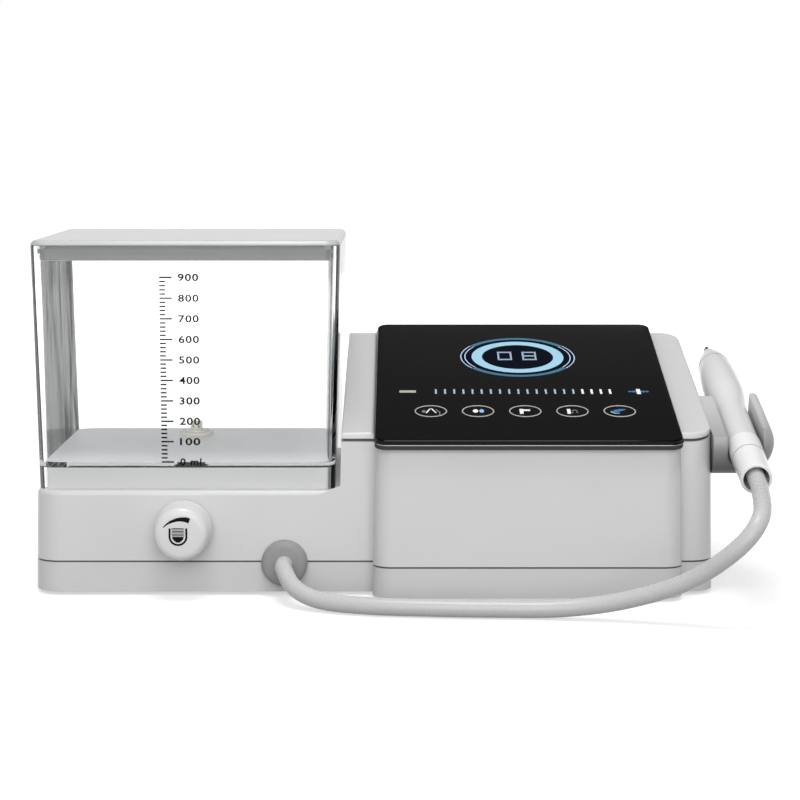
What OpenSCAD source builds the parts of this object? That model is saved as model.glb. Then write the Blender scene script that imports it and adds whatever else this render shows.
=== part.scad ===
// Ultrasonic dental scaler: a base with a water tank, a sloping touch console and a handpiece in its holder.
// Millimetres. The front faces -Y, +X is to the right and the feet stand on z = 0.

/* [Base] */
// Width of the low deck under the water tank
deck_w = 124.6; // [122:0.2:134]
// Width of the console at its foot
console_w = 151.6; // [149:0.2:162]
// Depth of the base from its front face to its back wall
base_d = 124; // [122:1:134]
// Height of the rubber feet below the tray
foot_h = 1.5; // [1:0.5:3]
// Radius of a rubber foot
foot_r = 8; // [6:0.5:9]
// Height of the parting line between tray and housing
part_z = 13.5; // [12.5:0.5:14.5]
// Height of the deck that the tank stands on
deck_z = 42.8; // [42:0.1:48]
// Wall of the tray and the housing
wall_t = 2.5; // [2:0.1:3]
// Radius of the base's upright corners
corner_r = 10.5; // [10:0.5:16]
// Draft of the moulded walls, in degrees
draft = 1.1; // [0.8:0.1:1.4]

/* [Console] */
// Slope of the console's top, in degrees
slope = 13.9; // [12:0.1:15]
// Height of the console's top at its front edge
wing_z = 65.9; // [62:0.1:70]
// Thickness of the top cover
cover_t = 3.5; // [3:0.1:4]
// Width of the block that stands out of the front, under the panel
block_w = 124.8; // [118:0.2:128]
// How far the block stands out of the front
block_out = 13.9; // [12:0.1:16]
// Radius of the block's front corners
block_r = 8; // [6:0.5:10]

/* [Panel] */
// Width of the touch glass
glass_w = 122.8; // [116:0.2:126]
// Length of the touch glass along the slope
glass_l = 143; // [141:0.5:143.5]
// Thickness of the touch glass
glass_t = 2; // [1.6:0.1:2.4]
// Thickness of the black frame under the glass
frame_t = 2; // [1.8:0.1:2.4]
// How far the glass stands proud of the cover
panel_rise = 3.6; // [3.3:0.1:4.2]
// How far the glass overhangs the block
glass_over = 2.6; // [2:0.1:3.5]
// Radius of the glass's corners
glass_r = 5; // [3:0.5:8]
// Distance of the light ring's centre from the glass's front edge
ring_s = 98.3; // [94:0.1:102]
// Outer radius of the light ring
ring_r = 24.9; // [22:0.1:26]
// Distance of the level bar from the glass's front edge
bar_s = 55.4; // [52:0.1:60]
// Length of the level bar
bar_l = 74; // [70:0.5:76]
// Distance of the key row from the glass's front edge
key_s = 32.6; // [30:0.1:36]
// Spacing of the five touch keys
key_pitch = 19.3; // [18:0.1:20]
// Thickness of the circuit boards
board_t = 1.6; // [1:0.1:2]

/* [Tank] */
// Distance of the tank's sides from the deck's sides, at the rim
tank_side = 0.1; // [0.1:0.1:2]
// Depth of the tank at its rim
tank_d = 110.6; // [106:0.2:114]
// Distance of the tank's front from the base's front, at the rim
tank_y = 1; // [0.5:0.1:4]
// Height of the tank's rim
rim_z = 141.5; // [130:0.5:150]
// Height of the tank's inner floor, the zero of its scale
floor_z = 54; // [53:0.5:58]
// Wall of the tank
tank_t = 2.4; // [2:0.1:3]
// Thickness of the tank's floor
floor_t = 2.2; // [1.8:0.1:2.6]
// Corner radius of the tank at its rim
tank_r = 6.5; // [6:0.5:12]
// Draft of the tank, in degrees
tank_draft = 1.3; // [1:0.1:1.5]
// Thickness of the lid
lid_t = 2.1; // [1.8:0.1:3]
// Depth of the lid's flange inside the tank
flange_h = 6; // [5:0.5:8]
// How far the tank's outlet valve lies behind the tank's middle
valve_dy = 31; // [24:1:34]

/* [Knob] */
// Distance of the knob from the deck's left end
knob_from_left = 61.2; // [57:0.1:63]
// Height of the knob's axis
knob_z = 27.5; // [26:0.5:28]
// Radius of the knob at its back
knob_r = 11.7; // [11:0.1:13]
// Radius of the knob at its face
knob_face_r = 10.2; // [9.8:0.1:11]
// How far the knob stands out
knob_l = 15.2; // [14:0.1:18]
// Radius of the knob's spindle
spindle_r = 3; // [2.5:0.1:3.4]

/* [Cord] */
// Radius of the handpiece cord
cord_r = 3.5; // [3:0.1:3.7]
// Radius of the grommet's outer collar
grommet_r = 9.3; // [8.5:0.1:9.8]
// How far the grommet stands out of the housing
grommet_out = 5; // [4:0.5:6]
// Distance of the grommet to the left of the console
grommet_left = 22.8; // [20:0.2:26]

/* [Handpiece] */
// Distance of the handpiece's axis from the console's right side at its foot
hp_side = 12.2; // [12:0.1:14]
// Depth of the handpiece's axis below the console's top
hp_drop = 7.9; // [7:0.1:9]
// Position of the handpiece's rear rim along the slope
hp_rear = -28; // [-30:0.5:-26]
// Length of the rear cap
cap_l = 34; // [32:0.5:36]
// Radius of the rear cap at its rim
cap_rim_r = 6.3; // [6.2:0.1:6.5]
// Radius of the rear cap at the sleeve
cap_r = 6.9; // [6.7:0.1:6.9]
// Length of the sleeve
sleeve_l = 104; // [100:1:110]
// Radius of the sleeve at its rear
sleeve_r = 6.5; // [6.4:0.1:6.6]
// Largest radius of the sleeve, at the grip
grip_r = 8.2; // [7.8:0.1:8.6]
// Radius of the sleeve at the nose
nose_r = 4.4; // [4.2:0.1:4.8]
// Length of the nose cone
nose_l = 11; // [10:0.5:12]
// Reach of the bent scaler tip beyond the nose
tip_l = 8; // [7.5:0.5:10]

/* [Holder] */
// Outer radius of the holder round the handpiece
holder_r = 12.8; // [12.2:0.1:13.2]
// Radius of the holder's channel
channel_r = 7.3; // [7.3:0.1:7.8]
// Start of the holder's straight part along the slope
holder_front = 11.5; // [8:0.5:14]
// Back end of the holder along the slope
holder_back = 47.5; // [42:0.5:48]

/* [Rear] */
// Distance of the power switch from the console's left side
switch_x = 50; // [44:1:56]
// Distance of the foot-switch socket from the console's left side
foot_jack_x = 84; // [80:1:90]
// Distance of the power socket from the console's left side
power_jack_x = 110; // [106:1:116]
// Height of the rear sockets
jack_z = 25; // [24:0.5:28]

/* [Hidden] */
$fn = 48;
soft_fn = 20;
CLEAR = 0.3;
FIT = 0.05;
E = 0.01;
BIG = 400;

// How far the drafted walls have leaned in at a height, kept to whole hundredths
function hundredths(v) = round(100 * v) / 100;
function lean(z) = hundredths(z * tan(draft));
function tank_lean(z) = hundredths((z - rim_z) * tan(tank_draft));

// Slope frame: x as in the base, s up along the slope from the front face, n off the console's top
function top_z(y) = wing_z + y * tan(slope);
function from_slope(p) = [p[0], p[1] * cos(slope) - p[2] * sin(slope), wing_z + p[1] * sin(slope) + p[2] * cos(slope)];
slope_dir = [0, cos(slope), sin(slope)];
panel_mid = (console_w - lean(wing_z)) / 2;
glass_n = panel_rise - glass_t;
frame_n = glass_n - frame_t;
glass_s = -(block_out + glass_over) * cos(slope) + sin(slope) * (panel_rise - (block_out + glass_over) * sin(slope));
board_n = -cover_t - board_t;

// Places
tank_x = -deck_w / 2;
tank_w = deck_w - 2 * tank_side;
tank_mid_y = tank_y + tank_d / 2;
plinth_gap = 0.5;
seat_gap = CLEAR;
plinth_top = floor_z - floor_t - seat_gap;
valve_x = tank_x - 3.4;
valve_y = tank_mid_y + valve_dy;
knob_x = knob_from_left - deck_w;
grommet_x = -grommet_left;
grommet_z = part_z;
hp_x = console_w + hp_side;
hp_n = -hp_drop;
tail_l = 30;
stub_out = 1.2;

// Row origin: the middle of everything but the free cord, on the table
x_mid = (hp_x + holder_r - deck_w) / 2;
rear_low = from_slope([0, hp_rear - stub_out, hp_n + cord_r]);
tip_far = from_slope([0, hp_rear + cap_l + sleeve_l + nose_l + tip_l, hp_n]);
y_mid = (rear_low[1] + tip_far[1]) / 2;

module place() {
    translate([-x_mid, -y_mid, 0])
        children();
}

module on_slope() {
    translate([0, 0, wing_z])
        rotate([slope, 0, 0])
            children();
}

// Local z runs along the handpiece from its rear rim towards the tip
module along_handpiece() {
    on_slope()
        translate([hp_x, hp_rear, hp_n])
            rotate([-90, 0, 0])
                children();
}

// Space between two planes parallel to the console's top
module slope_layer(n0, n1) {
    on_slope()
        translate([-BIG, -BIG, n0])
            cube([2 * BIG, 2 * BIG, n1 - n0]);
}

// Profile across x of a block whose side walls lean in, extruded from y0 to y1
module side_prism(x, y, z, inset) {
    translate([0, y[1], 0])
        rotate([90, 0, 0])
            linear_extrude(y[1] - y[0])
                polygon([[x[0], z[0]], [x[1], z[0]], [x[1] - inset, z[1]], [x[0] + inset, z[1]]]);
}

// Profile across y of a block whose front and back lean in, extruded from x0 to x1
module front_prism(x, y, z, inset) {
    translate([x[0], 0, 0])
        rotate([90, 0, 90])
            linear_extrude(x[1] - x[0])
                polygon([[y[0], z[0]], [y[1], z[0]], [y[1] - inset, z[1]], [y[0] + inset, z[1]]]);
}

// Block with upright corners of radius r, whose walls lean in by inset up to its top
module leaning_block(x, y, z, r, inset) {
    for (cx = [x[0] + r, x[1] - r], cy = [y[0] + r, y[1] - r])
        translate([cx, cy, z[0]])
            cylinder(h = z[1] - z[0], r1 = r, r2 = r - inset);
    front_prism([x[0] + r, x[1] - r], y, z, inset);
    side_prism(x, [y[0] + r, y[1] - r], z, inset);
}

least_r = 0.4;

// Leaning block measured at z = 0 with the housing's draft, drawn in by off all round
module drafted(x, y, z, r, off) {
    a = lean(z[0]) + off;
    inset = lean(z[1]) - lean(z[0]);
    leaning_block([x[0] + a, x[1] - a], [y[0] + a, y[1] - a], z,
        max(r - a, inset + least_r), inset);
}

module base_solid(z, off = 0) {
    drafted([-deck_w, console_w], [0, base_d], z, corner_r, off);
}

// Air over the deck: everything left of the console's leaning side wall, drawn in by off
console_left = -1;
module over_deck(off) {
    translate([0, BIG, 0])
        rotate([90, 0, 0])
            linear_extrude(2 * BIG)
                polygon([[-BIG, deck_z - off], [console_left + lean(deck_z) + off, deck_z - off],
                    [console_left + lean(BIG) + off, BIG], [-BIG, BIG]]);
}

module housing_solid(z0, off = 0) {
    difference() {
        base_solid([z0, top_z(base_d)], off);
        over_deck(off);
    }
}

block_depth = block_out + 30;
module block_solid(z, off = 0) {
    drafted([panel_mid - block_w / 2, panel_mid + block_w / 2], [-block_out, block_depth - block_out], z, block_r, off);
}

// Tank outline between two heights, drawn in by off
module tank_solid(z, off = 0) {
    a = off - tank_lean(z[0]);
    leaning_block([tank_x - tank_w / 2 + a, tank_x + tank_w / 2 - a], [tank_y + a, tank_y + tank_d - a],
        z, max(tank_r - a, least_r), tank_lean(z[0]) - tank_lean(z[1]));
}

module ring_solid(r_out, r_in, h) {
    difference() {
        cylinder(h = h, r = r_out);
        translate([0, 0, -1])
            cylinder(h = h + 2, r = r_in);
    }
}

// Torus of an o-ring
module o_ring(major, minor) {
    rotate_extrude()
        translate([major, 0])
            circle(minor, $fn = 24);
}

// Plate with rounded corners, built so that its corners stay true arcs
module round_plate(w, l, h, r) {
    translate([r, 0, 0])
        cube([w - 2 * r, l, h]);
    translate([0, r, 0])
        cube([w, l - 2 * r, h]);
    for (x = [r, w - r], y = [r, l - r])
        translate([x, y, 0])
            cylinder(h = h, r = r);
}

// Swept tubes
function unit(v) = v / norm(v);
function spline(a, b, c, d, t) = 0.5 * (2 * b + (c - a) * t + (2 * a - 5 * b + 4 * c - d) * t ^ 2 + (3 * b - a - 3 * c + d) * t ^ 3);
function route(p, steps) = [
    for (i = [0 : len(p) - 4], k = [0 : steps - 1]) spline(p[i], p[i + 1], p[i + 2], p[i + 3], k / steps),
    p[len(p) - 2]
];

// Path that leaves start straight along dir0, passes the points and meets end straight along dir1
function lead_route(start, dir0, points, end, dir1, lead, steps) = concat(
    [start],
    route(concat([start, start + lead * dir0], points, [end - lead * dir1, end]), steps),
    [end]
);
function directions(path) = [
    for (i = [0 : len(path) - 1]) unit(path[min(i + 1, len(path) - 1)] - path[max(i - 1, 0)])
];

module tube(path, radii, sides, up) {
    n = len(path);
    dirs = directions(path);
    points = [
        for (i = [0 : n - 1])
            let (a = unit(cross(dirs[i], up)), b = cross(dirs[i], a))
                for (k = [0 : sides - 1])
                    path[i] + radii[i] * (cos(360 * k / sides) * a + sin(360 * k / sides) * b)
    ];
    walls = [
        for (i = [0 : n - 2], k = [0 : sides - 1])
            let (m = (k + 1) % sides, p = i * sides, q = (i + 1) * sides)
                each [[p + k, q + m, p + m], [p + k, q + k, q + m]]
    ];
    first_cap = [for (k = [1 : sides - 2]) [0, k, k + 1]];
    last_cap = [for (k = [1 : sides - 2]) (n - 1) * sides * [1, 1, 1] + [0, k + 1, k]];
    polyhedron(points, concat(walls, first_cap, last_cap));
}

module even_tube(path, r, sides, up) {
    tube(path, [for (p = path) r], sides, up);
}

// Base

pillar_inset = 6.3;
pillar_places = [
    [-deck_w + pillar_inset, 26], [-deck_w + pillar_inset, base_d - 29],
    [console_w - pillar_inset, 26], [console_w - pillar_inset, base_d - 29],
    [3, pillar_inset], [20, base_d - pillar_inset]
];
boss_r = 5;
boss_top = part_z - 1.5;
pillar_r = 4.5;
pillar_top = deck_z - wall_t;
screw_r = 1.5;
screw_head_r = 2.8;
screw_head_h = 2;
head_recess = 2.6;
screw_l = 16;

foot_places = [for (x = [-deck_w + 21, console_w - 21], y = [21, base_d - 21]) [x, y]];
foot_sink = 1;

tongue_t = 1;
tongue_h = 2;
seam = 0.5;
seam_h = 0.7;
cover_groove_in = 0.8;
cover_groove_h = 1.3;

board_x = 15;
board_y = 12;
board_w = console_w - 2 * board_x - 1;
board_d = 84;
board_z = foot_h + wall_t + 8;
post_inset = 5;
post_places = [for (x = [board_x + post_inset, board_x + board_w - post_inset],
    y = [board_y + post_inset, board_y + board_d - post_inset]) [x, y]];
post_r = 3.5;
peg_r = 1.2;

module tray_floor_z() {
    translate([0, 0, foot_h + wall_t])
        children();
}

module grommet_hole() {
    translate([grommet_x, -5, grommet_z])
        rotate([-90, 0, 0])
            cylinder(h = 5 + 12, r = grommet_hole_r);
}

module bottom_tray() {
    color("gainsboro") place() difference() {
        union() {
            difference() {
                union() {
                    base_solid([foot_h, part_z + tongue_h]);
                    block_solid([foot_h, part_z + tongue_h]);
                }
                base_solid([foot_h + wall_t, part_z + tongue_h + 1], wall_t);
                block_solid([foot_h + wall_t, part_z + tongue_h + 1], wall_t);
                difference() {
                    translate([-BIG, -BIG, part_z])
                        cube([2 * BIG, 2 * BIG, BIG]);
                    base_solid([part_z - 1, part_z + tongue_h + 1], wall_t - tongue_t);
                    block_solid([part_z - 1, part_z + tongue_h + 1], wall_t - tongue_t);
                }
            }
            for (p = pillar_places)
                translate([p[0], p[1], foot_h])
                    cylinder(h = boss_top - foot_h, r = boss_r);
            for (p = post_places)
                translate([p[0], p[1], foot_h + E]) {
                    cylinder(h = board_z - foot_h - E, r = post_r);
                    cylinder(h = board_z + board_t + 1 - foot_h, r = peg_r);
                }
        }
        for (p = pillar_places) {
            translate([p[0], p[1], foot_h - 1])
                cylinder(h = head_recess + 1, r = screw_head_r + CLEAR);
            translate([p[0], p[1], foot_h])
                cylinder(h = part_z, r = screw_r + 0.2);
            translate([p[0], p[1], boss_top])
                cylinder(h = part_z, r = boss_r);
        }
        for (p = foot_places)
            translate([p[0], p[1], foot_h - 1])
                cylinder(h = 1 + foot_sink, r = foot_r + FIT);
        grommet_hole();
    }
}

module rubber_feet() {
    color("dimgray") place() for (p = foot_places)
        translate([p[0], p[1], 0])
            cylinder(h = foot_h + foot_sink, r = foot_r);
}

module housing_screws() {
    color("silver") place() for (p = pillar_places)
        translate([p[0], p[1], foot_h + head_recess - screw_head_h]) {
            cylinder(h = screw_head_h, r = screw_head_r);
            cylinder(h = screw_head_h + screw_l, r = screw_r);
        }
}

plinth_in = tank_t + plinth_gap;
module plinth_solid(z, off) {
    tank_solid(z, plinth_in + off);
}

// Flat pocket in the back wall for the sockets and the switch
pocket_x0 = switch_x - 16;
pocket_x1 = power_jack_x + 12;
pocket_half = 11;
pocket_y = base_d - lean(jack_z + pocket_half) - 0.8;

module housing_shell() {
    difference() {
        union() {
            intersection() {
                housing_solid(part_z);
                slope_layer(-BIG, -cover_t);
            }
            difference() {
                intersection() {
                    block_solid([part_z, top_z(0)]);
                    slope_layer(-BIG, frame_n);
                }
                intersection() {
                    translate([-BIG, lean(wing_z) - 0.2, 0])
                        cube([2 * BIG, BIG, BIG]);
                    slope_layer(-cover_t, BIG);
                }
            }
            plinth_solid([deck_z - E, plinth_top], 0);
        }
        housing_solid(part_z - 1, wall_t);
        block_solid([part_z - 1, top_z(0) + 1], wall_t);
        plinth_solid([deck_z - wall_t - 1, plinth_top - wall_t], wall_t);
    }
}

// Shadow line between tray and housing
module seam_grooves() {
    difference() {
        union() {
            base_solid([part_z - E, part_z + seam_h], -1);
            block_solid([part_z - E, part_z + seam_h], -1);
        }
        base_solid([part_z - 1, part_z + 2], seam);
        block_solid([part_z - 1, part_z + 2], seam);
    }
}

module tongue_rebate() {
    difference() {
        union() {
            base_solid([part_z - 1, part_z + tongue_h + CLEAR], wall_t - tongue_t - 2 * FIT);
            block_solid([part_z - 1, part_z + tongue_h + CLEAR], wall_t - tongue_t - 2 * FIT);
        }
        for (p = pillar_places)
            translate([p[0], p[1], part_z - 2])
                cylinder(h = tongue_h + 4, r = pillar_r);
    }
}

module main_housing() {
    color("whitesmoke") place() difference() {
        union() {
            housing_shell();
            for (p = pillar_places)
                translate([p[0], p[1], boss_top])
                    cylinder(h = pillar_top - boss_top + E, r = pillar_r);
        }
        seam_grooves();
        tongue_rebate();
        for (p = pillar_places)
            translate([p[0], p[1], boss_top - 1])
                cylinder(h = screw_l, r = screw_r);
        grommet_hole();
        translate([knob_x, -5, knob_z])
            rotate([-90, 0, 0])
                cylinder(h = 12, r = neck_r + FIT);
        translate([valve_x, valve_y, deck_z])
            cylinder(h = BIG, r = cup_r);
        translate([pocket_x0, pocket_y, jack_z - pocket_half])
            cube([pocket_x1 - pocket_x0, BIG, 2 * pocket_half]);
        for (x = [foot_jack_x, power_jack_x])
            translate([x, pocket_y - 10, jack_z])
                rotate([-90, 0, 0])
                    cylinder(h = 20, r = jack_body_r + FIT);
        translate([switch_x - switch_w / 2 - FIT, pocket_y - 10, jack_z - switch_h / 2 - FIT])
            cube([switch_w + 2 * FIT, 20, switch_h + 2 * FIT]);
        holder_screw_holes();
    }
}

window_w = 108;
window_s = [glass_s + 14, glass_s + glass_l - 11];
rim_t = 1.6;
rim_h = 4;

// Shadow line under the edge of the top cover
module cover_groove() {
    difference() {
        intersection() {
            housing_solid(deck_z, -2);
            slope_layer(-cover_t - E, -cover_t + cover_groove_h);
        }
        housing_solid(part_z, cover_groove_in);
    }
}

module window(n0, n1, w, s) {
    on_slope()
        translate([panel_mid - w / 2, s[0], n0])
            cube([w, s[1] - s[0], n1 - n0]);
}

module top_cover() {
    color("whitesmoke") place() difference() {
        union() {
            intersection() {
                housing_solid(part_z);
                slope_layer(-cover_t, 0);
            }
            intersection() {
                difference() {
                    housing_solid(part_z, wall_t + CLEAR);
                    housing_solid(part_z - 1, wall_t + CLEAR + rim_t);
                    block_solid([deck_z - 1, top_z(base_d)], -CLEAR);
                }
                slope_layer(-cover_t - rim_h, -cover_t + E);
            }
        }
        cover_groove();
        window(-cover_t - 1, 1, window_w, [max(window_s[0], 8), window_s[1]]);
        on_slope()
            translate([panel_mid - glass_w / 2 - CLEAR, glass_s - CLEAR, frame_n])
                round_plate(glass_w + 2 * CLEAR, glass_l + 2 * CLEAR, 10, glass_r + CLEAR);
    }
}

// Panel

module panel_frame() {
    color("black") place() difference() {
        on_slope()
            translate([panel_mid - glass_w / 2, glass_s, frame_n])
                round_plate(glass_w, glass_l, frame_t, glass_r);
        window(frame_n - 1, glass_n + 1, window_w, window_s);
    }
}

glass_chamfer = 0.8;
module touch_glass() {
    color([0.08, 0.08, 0.09]) place() on_slope()
        translate([panel_mid - glass_w / 2, glass_s, glass_n]) {
            round_plate(glass_w, glass_l, glass_t - glass_chamfer, glass_r);
            leaning_block([0, glass_w], [0, glass_l], [glass_t - glass_chamfer, glass_t], glass_r,
                glass_chamfer);
        }
}

display_edge = 4;
display_w = window_w + 2 * display_edge;
display_s = [max(window_s[0], 8) - display_edge, window_s[1] + display_edge - 6];

module display_board() {
    color("darkgreen") place() on_slope()
        translate([panel_mid - display_w / 2, display_s[0], board_n])
            cube([display_w, display_s[1] - display_s[0], board_t]);
}

guide_h = glass_n + cover_t - CLEAR;
ring_in = ring_r - 9.1;
module on_display(s) {
    on_slope()
        translate([panel_mid, glass_s + s, -cover_t])
            children();
}

module display_ring() {
    color("lightskyblue") place() on_display(ring_s) {
        ring_solid(ring_r - 4.8, ring_in, guide_h);
        ring_solid(ring_r, ring_r - 2, guide_h);
        translate([ring_in, -2, 0])
            cube([ring_r - ring_in - 1, 4, 2]);
        translate([-ring_r + 1, -2, 0])
            cube([ring_r - ring_in - 1, 4, 2]);
    }
}

digit_w = 8;
digit_l = 12;
module digit_display() {
    color("white") place() on_display(ring_s) difference() {
        translate([-digit_w - 1, -digit_l / 2, 0])
            cube([2 * digit_w + 2, digit_l, guide_h]);
        translate([-0.5, -digit_l, guide_h - 1])
            cube([1, 2 * digit_l, 2]);
    }
}

bar_half = 2;
module level_bar() {
    color("deepskyblue") place() on_display(bar_s)
        translate([-bar_l / 2, -bar_half, 0])
            cube([bar_l, 2 * bar_half, guide_h]);
}

key_r = 6.5;
module key_lights() {
    color("deepskyblue") place() on_display(key_s) for (k = [-2 : 2])
        translate([k * key_pitch, 0, 0])
            cylinder(h = guide_h, r = key_r);
}

ribbon_w = 20;
ribbon_t = 0.6;
ribbon_y = board_y + 18;
socket_h = 5;
display_low_z = top_z(ribbon_y) + board_n / cos(slope);
module ribbon_cable() {
    color("lightgray") place() translate([panel_mid - ribbon_w / 2, 0, 0]) {
        translate([0, ribbon_y - 2, board_z + board_t])
            cube([ribbon_w, 4, socket_h]);
        translate([1, ribbon_y - ribbon_t / 2, board_z + board_t])
            cube([ribbon_w - 2, ribbon_t, display_low_z - board_z - board_t - 0.6]);
        translate([0, ribbon_y - 2, display_low_z - socket_h])
            cube([ribbon_w, 4, socket_h - 0.6]);
    }
}

// Main board and what it carries

module main_board() {
    color("darkgreen") place() difference() {
        union() {
            translate([board_x, board_y, board_z])
                cube([board_w, board_d, board_t]);
            for (x = [board_x + 18, board_x + 40])
                translate([x, board_y + board_d - 22, board_z])
                    cube([14, 6, board_t + 7]);
            translate([board_x + 74, board_y + 14, board_z])
                cube([12, 12, board_t + 1.6]);
        }
        for (p = post_places)
            translate([p[0], p[1], board_z - 1])
                cylinder(h = board_t + 2, r = peg_r + FIT);
    }
}

module on_board(x, y) {
    translate([board_x + x, board_y + y, board_z + board_t])
        children();
}

module output_transformer() {
    color("goldenrod") place() on_board(panel_mid - board_x + 24, 34) {
        cube([26, 6, 22]);
        translate([0, 18, 0])
            cube([26, 6, 22]);
        translate([9, 5, 2])
            cube([8, 14, 18]);
        translate([1, 6.5, 3])
            cube([24, 11, 16]);
    }
}

fin_count = 8;
sink_w = 36;
sink_x = panel_mid - board_x - ribbon_w / 2 - 2 - sink_w;
module heat_sink() {
    color("silver") place() on_board(sink_x, 8) {
        cube([sink_w, 16, 3]);
        for (k = [0 : fin_count - 1])
            translate([k * (sink_w - 1.5) / (fin_count - 1), 0, 2])
                cube([1.5, 16, 20]);
    }
}

module capacitors() {
    color("midnightblue") place() for (k = [0 : 2])
        on_board(32 + 15 * k, 36)
            cylinder(h = 22, r = 6.3);
}

module buzzer() {
    color("dimgray") place() on_board(board_w - 20, 16)
        ring_solid(6, 1.2, 7);
}

// Pump

pump_x = -deck_w + 25;
pump_z = 23.5;
motor_y = 62;
motor_r = 12;
motor_l = 34;
case_r = 16;
case_l = 18;
case_wall = 2;
shaft_r = 1.5;
roller_r = 2.4;
roller_path = 7.6;
squeeze_r = 1.6;
squeeze_major = 12;

module on_pump(y) {
    translate([pump_x, y, pump_z])
        rotate([-90, 0, 0])
            children();
}

module pump_motor() {
    color("gray") place() on_pump(motor_y) difference() {
        union() {
            cylinder(h = motor_l, r = motor_r);
            translate([0, 0, motor_l - E])
                cylinder(h = 2.5, r = 4);
        }
        translate([0, 0, -1])
            cylinder(h = 12, r = shaft_r + FIT);
    }
}

port_dx = 8;
port_r = 2;
port_l = 7;
module pump_case() {
    color("lightsteelblue") place() on_pump(motor_y - case_l) difference() {
        union() {
            cylinder(h = case_l, r = case_r);
            for (x = [-port_dx, port_dx])
                translate([x, 0, -port_l])
                    cylinder(h = port_l + case_wall, r = port_r);
        }
        translate([0, 0, case_wall])
            cylinder(h = case_l - 2 * case_wall, r = case_r - case_wall);
        translate([0, 0, case_l - case_wall - 1])
            cylinder(h = case_wall + 2, r = shaft_r + FIT);
        for (x = [-port_dx, port_dx])
            translate([x, 0, -port_l - 1])
                cylinder(h = port_l + case_wall + 2, r = 0.9);
    }
}

module pump_rotor() {
    color("ivory") place() on_pump(motor_y - case_l + case_wall + 0.5) {
        cylinder(h = 2, r = 9.6);
        translate([0, 0, case_l - 2 * case_wall - 3.2])
            cylinder(h = 2, r = 9.6);
        cylinder(h = case_l + 5, r = shaft_r);
        for (a = [0, 120, 240])
            rotate([0, 0, a])
                translate([roller_path, 0, 1.5])
                    cylinder(h = case_l - 2 * case_wall - 4, r = roller_r);
    }
}

module pump_tube() {
    color("lightyellow") place() on_pump(motor_y - case_l / 2)
        rotate([0, 0, -30])
            rotate_extrude(angle = 240)
                translate([squeeze_major, 0])
                    circle(squeeze_r, $fn = 24);
}

module pump_saddle() {
    color("silver") place() difference() {
        translate([pump_x - 9, motor_y + 6, foot_h + wall_t])
            cube([18, 20, pump_z - foot_h - wall_t - 6]);
        on_pump(motor_y)
            cylinder(h = motor_l, r = motor_r);
    }
}

// Water valves

solenoid_x = grommet_x - 10;
solenoid_y = 74;
solenoid_z = foot_h + wall_t + 9;
module solenoid_valve() {
    color("royalblue") place() translate([solenoid_x, solenoid_y, solenoid_z]) {
        translate([-8, -12, -9])
            cube([16, 24, 14]);
        translate([0, 0, 5 - E])
            cylinder(h = 18, r = 7.5);
        translate([0, 0, 23 - 2 * E])
            cylinder(h = 2, r = 3);
        translate([0, -18, 0])
            rotate([-90, 0, 0])
                cylinder(h = 7, r = port_r);
        translate([-15, 4, 0])
            rotate([0, 90, 0])
                cylinder(h = 8, r = port_r);
    }
}

neck_r = 5;
neck_front = -4.5;
shoulder_y = wall_t + lean(knob_z + 9);
valve_l = 26;
bonnet_r = 8;
module flow_valve() {
    color("silver") place() translate([knob_x, 0, knob_z]) rotate([-90, 0, 0]) difference() {
        union() {
            translate([0, 0, neck_front])
                cylinder(h = shoulder_y - neck_front + 1, r = neck_r);
            translate([0, 0, shoulder_y])
                cylinder(h = valve_l, r = bonnet_r);
            translate([0, 0, shoulder_y + valve_l - 1])
                cylinder(h = 8, r = port_r);
            translate([0, 0, shoulder_y + 18])
                rotate([0, 90, 0])
                    cylinder(h = bonnet_r + 7, r = port_r);
        }
        translate([0, 0, neck_front - 1])
            cylinder(h = shoulder_y - neck_front + 19, r = spindle_r + FIT);
    }
}

module valve_nut() {
    color("silver") place() translate([knob_x, neck_front + 1.2, knob_z]) rotate([-90, 0, 0]) difference() {
        cylinder(h = 3.5, r = 7.6, $fn = 6);
        translate([0, 0, -1])
            cylinder(h = 6, r = neck_r);
    }
}

knob_back = 0.2;
knob_edge = 1.5;
cavity_r = 9.2;
cavity_l = 7;
module knob() {
    color("whitesmoke") place() translate([knob_x, -knob_back, knob_z]) rotate([90, 0, 0]) difference() {
        rotate_extrude()
            polygon(concat(
                [[0, 0], [knob_r, 0]],
                [for (a = [0 : 15 : 90]) [knob_face_r - knob_edge + knob_edge * cos(a),
                    knob_l - knob_edge + knob_edge * sin(a)]],
                [[0, knob_l]]
            ));
        translate([0, 0, -1])
            cylinder(h = cavity_l + 1, r = cavity_r);
        translate([0, 0, -1])
            cylinder(h = knob_l - 2, r = spindle_r);
    }
}

spindle_front = -knob_back - knob_l + 3;
module knob_spindle() {
    color("silver") place() translate([knob_x, spindle_front, knob_z]) rotate([-90, 0, 0])
        cylinder(h = shoulder_y + 14 - spindle_front, r = spindle_r);
}

// Cord, its grommet and the hoses

grommet_hole_r = 7.1;
module cable_grommet() {
    inner_y = wall_t + lean(grommet_z + 9);
    color("darkgray") place() translate([grommet_x, 0, grommet_z]) rotate([-90, 0, 0]) difference() {
        union() {
            translate([0, 0, -grommet_out])
                rotate_extrude()
                    polygon(concat(
                        [[0, 0]],
                        [for (a = [0 : 15 : 90]) [grommet_r - 2.5 + 2.5 * sin(a), 2.5 - 2.5 * cos(a)]],
                        [[grommet_r, grommet_out + 0.05], [0, grommet_out + 0.05]]
                    ));
            cylinder(h = inner_y + 1, r = grommet_hole_r - FIT);
            translate([0, 0, inner_y])
                cylinder(h = 2, r = grommet_hole_r + 1.4);
        }
        translate([0, 0, -grommet_out - 1])
            cylinder(h = BIG, r = cord_r);
    }
}

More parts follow.
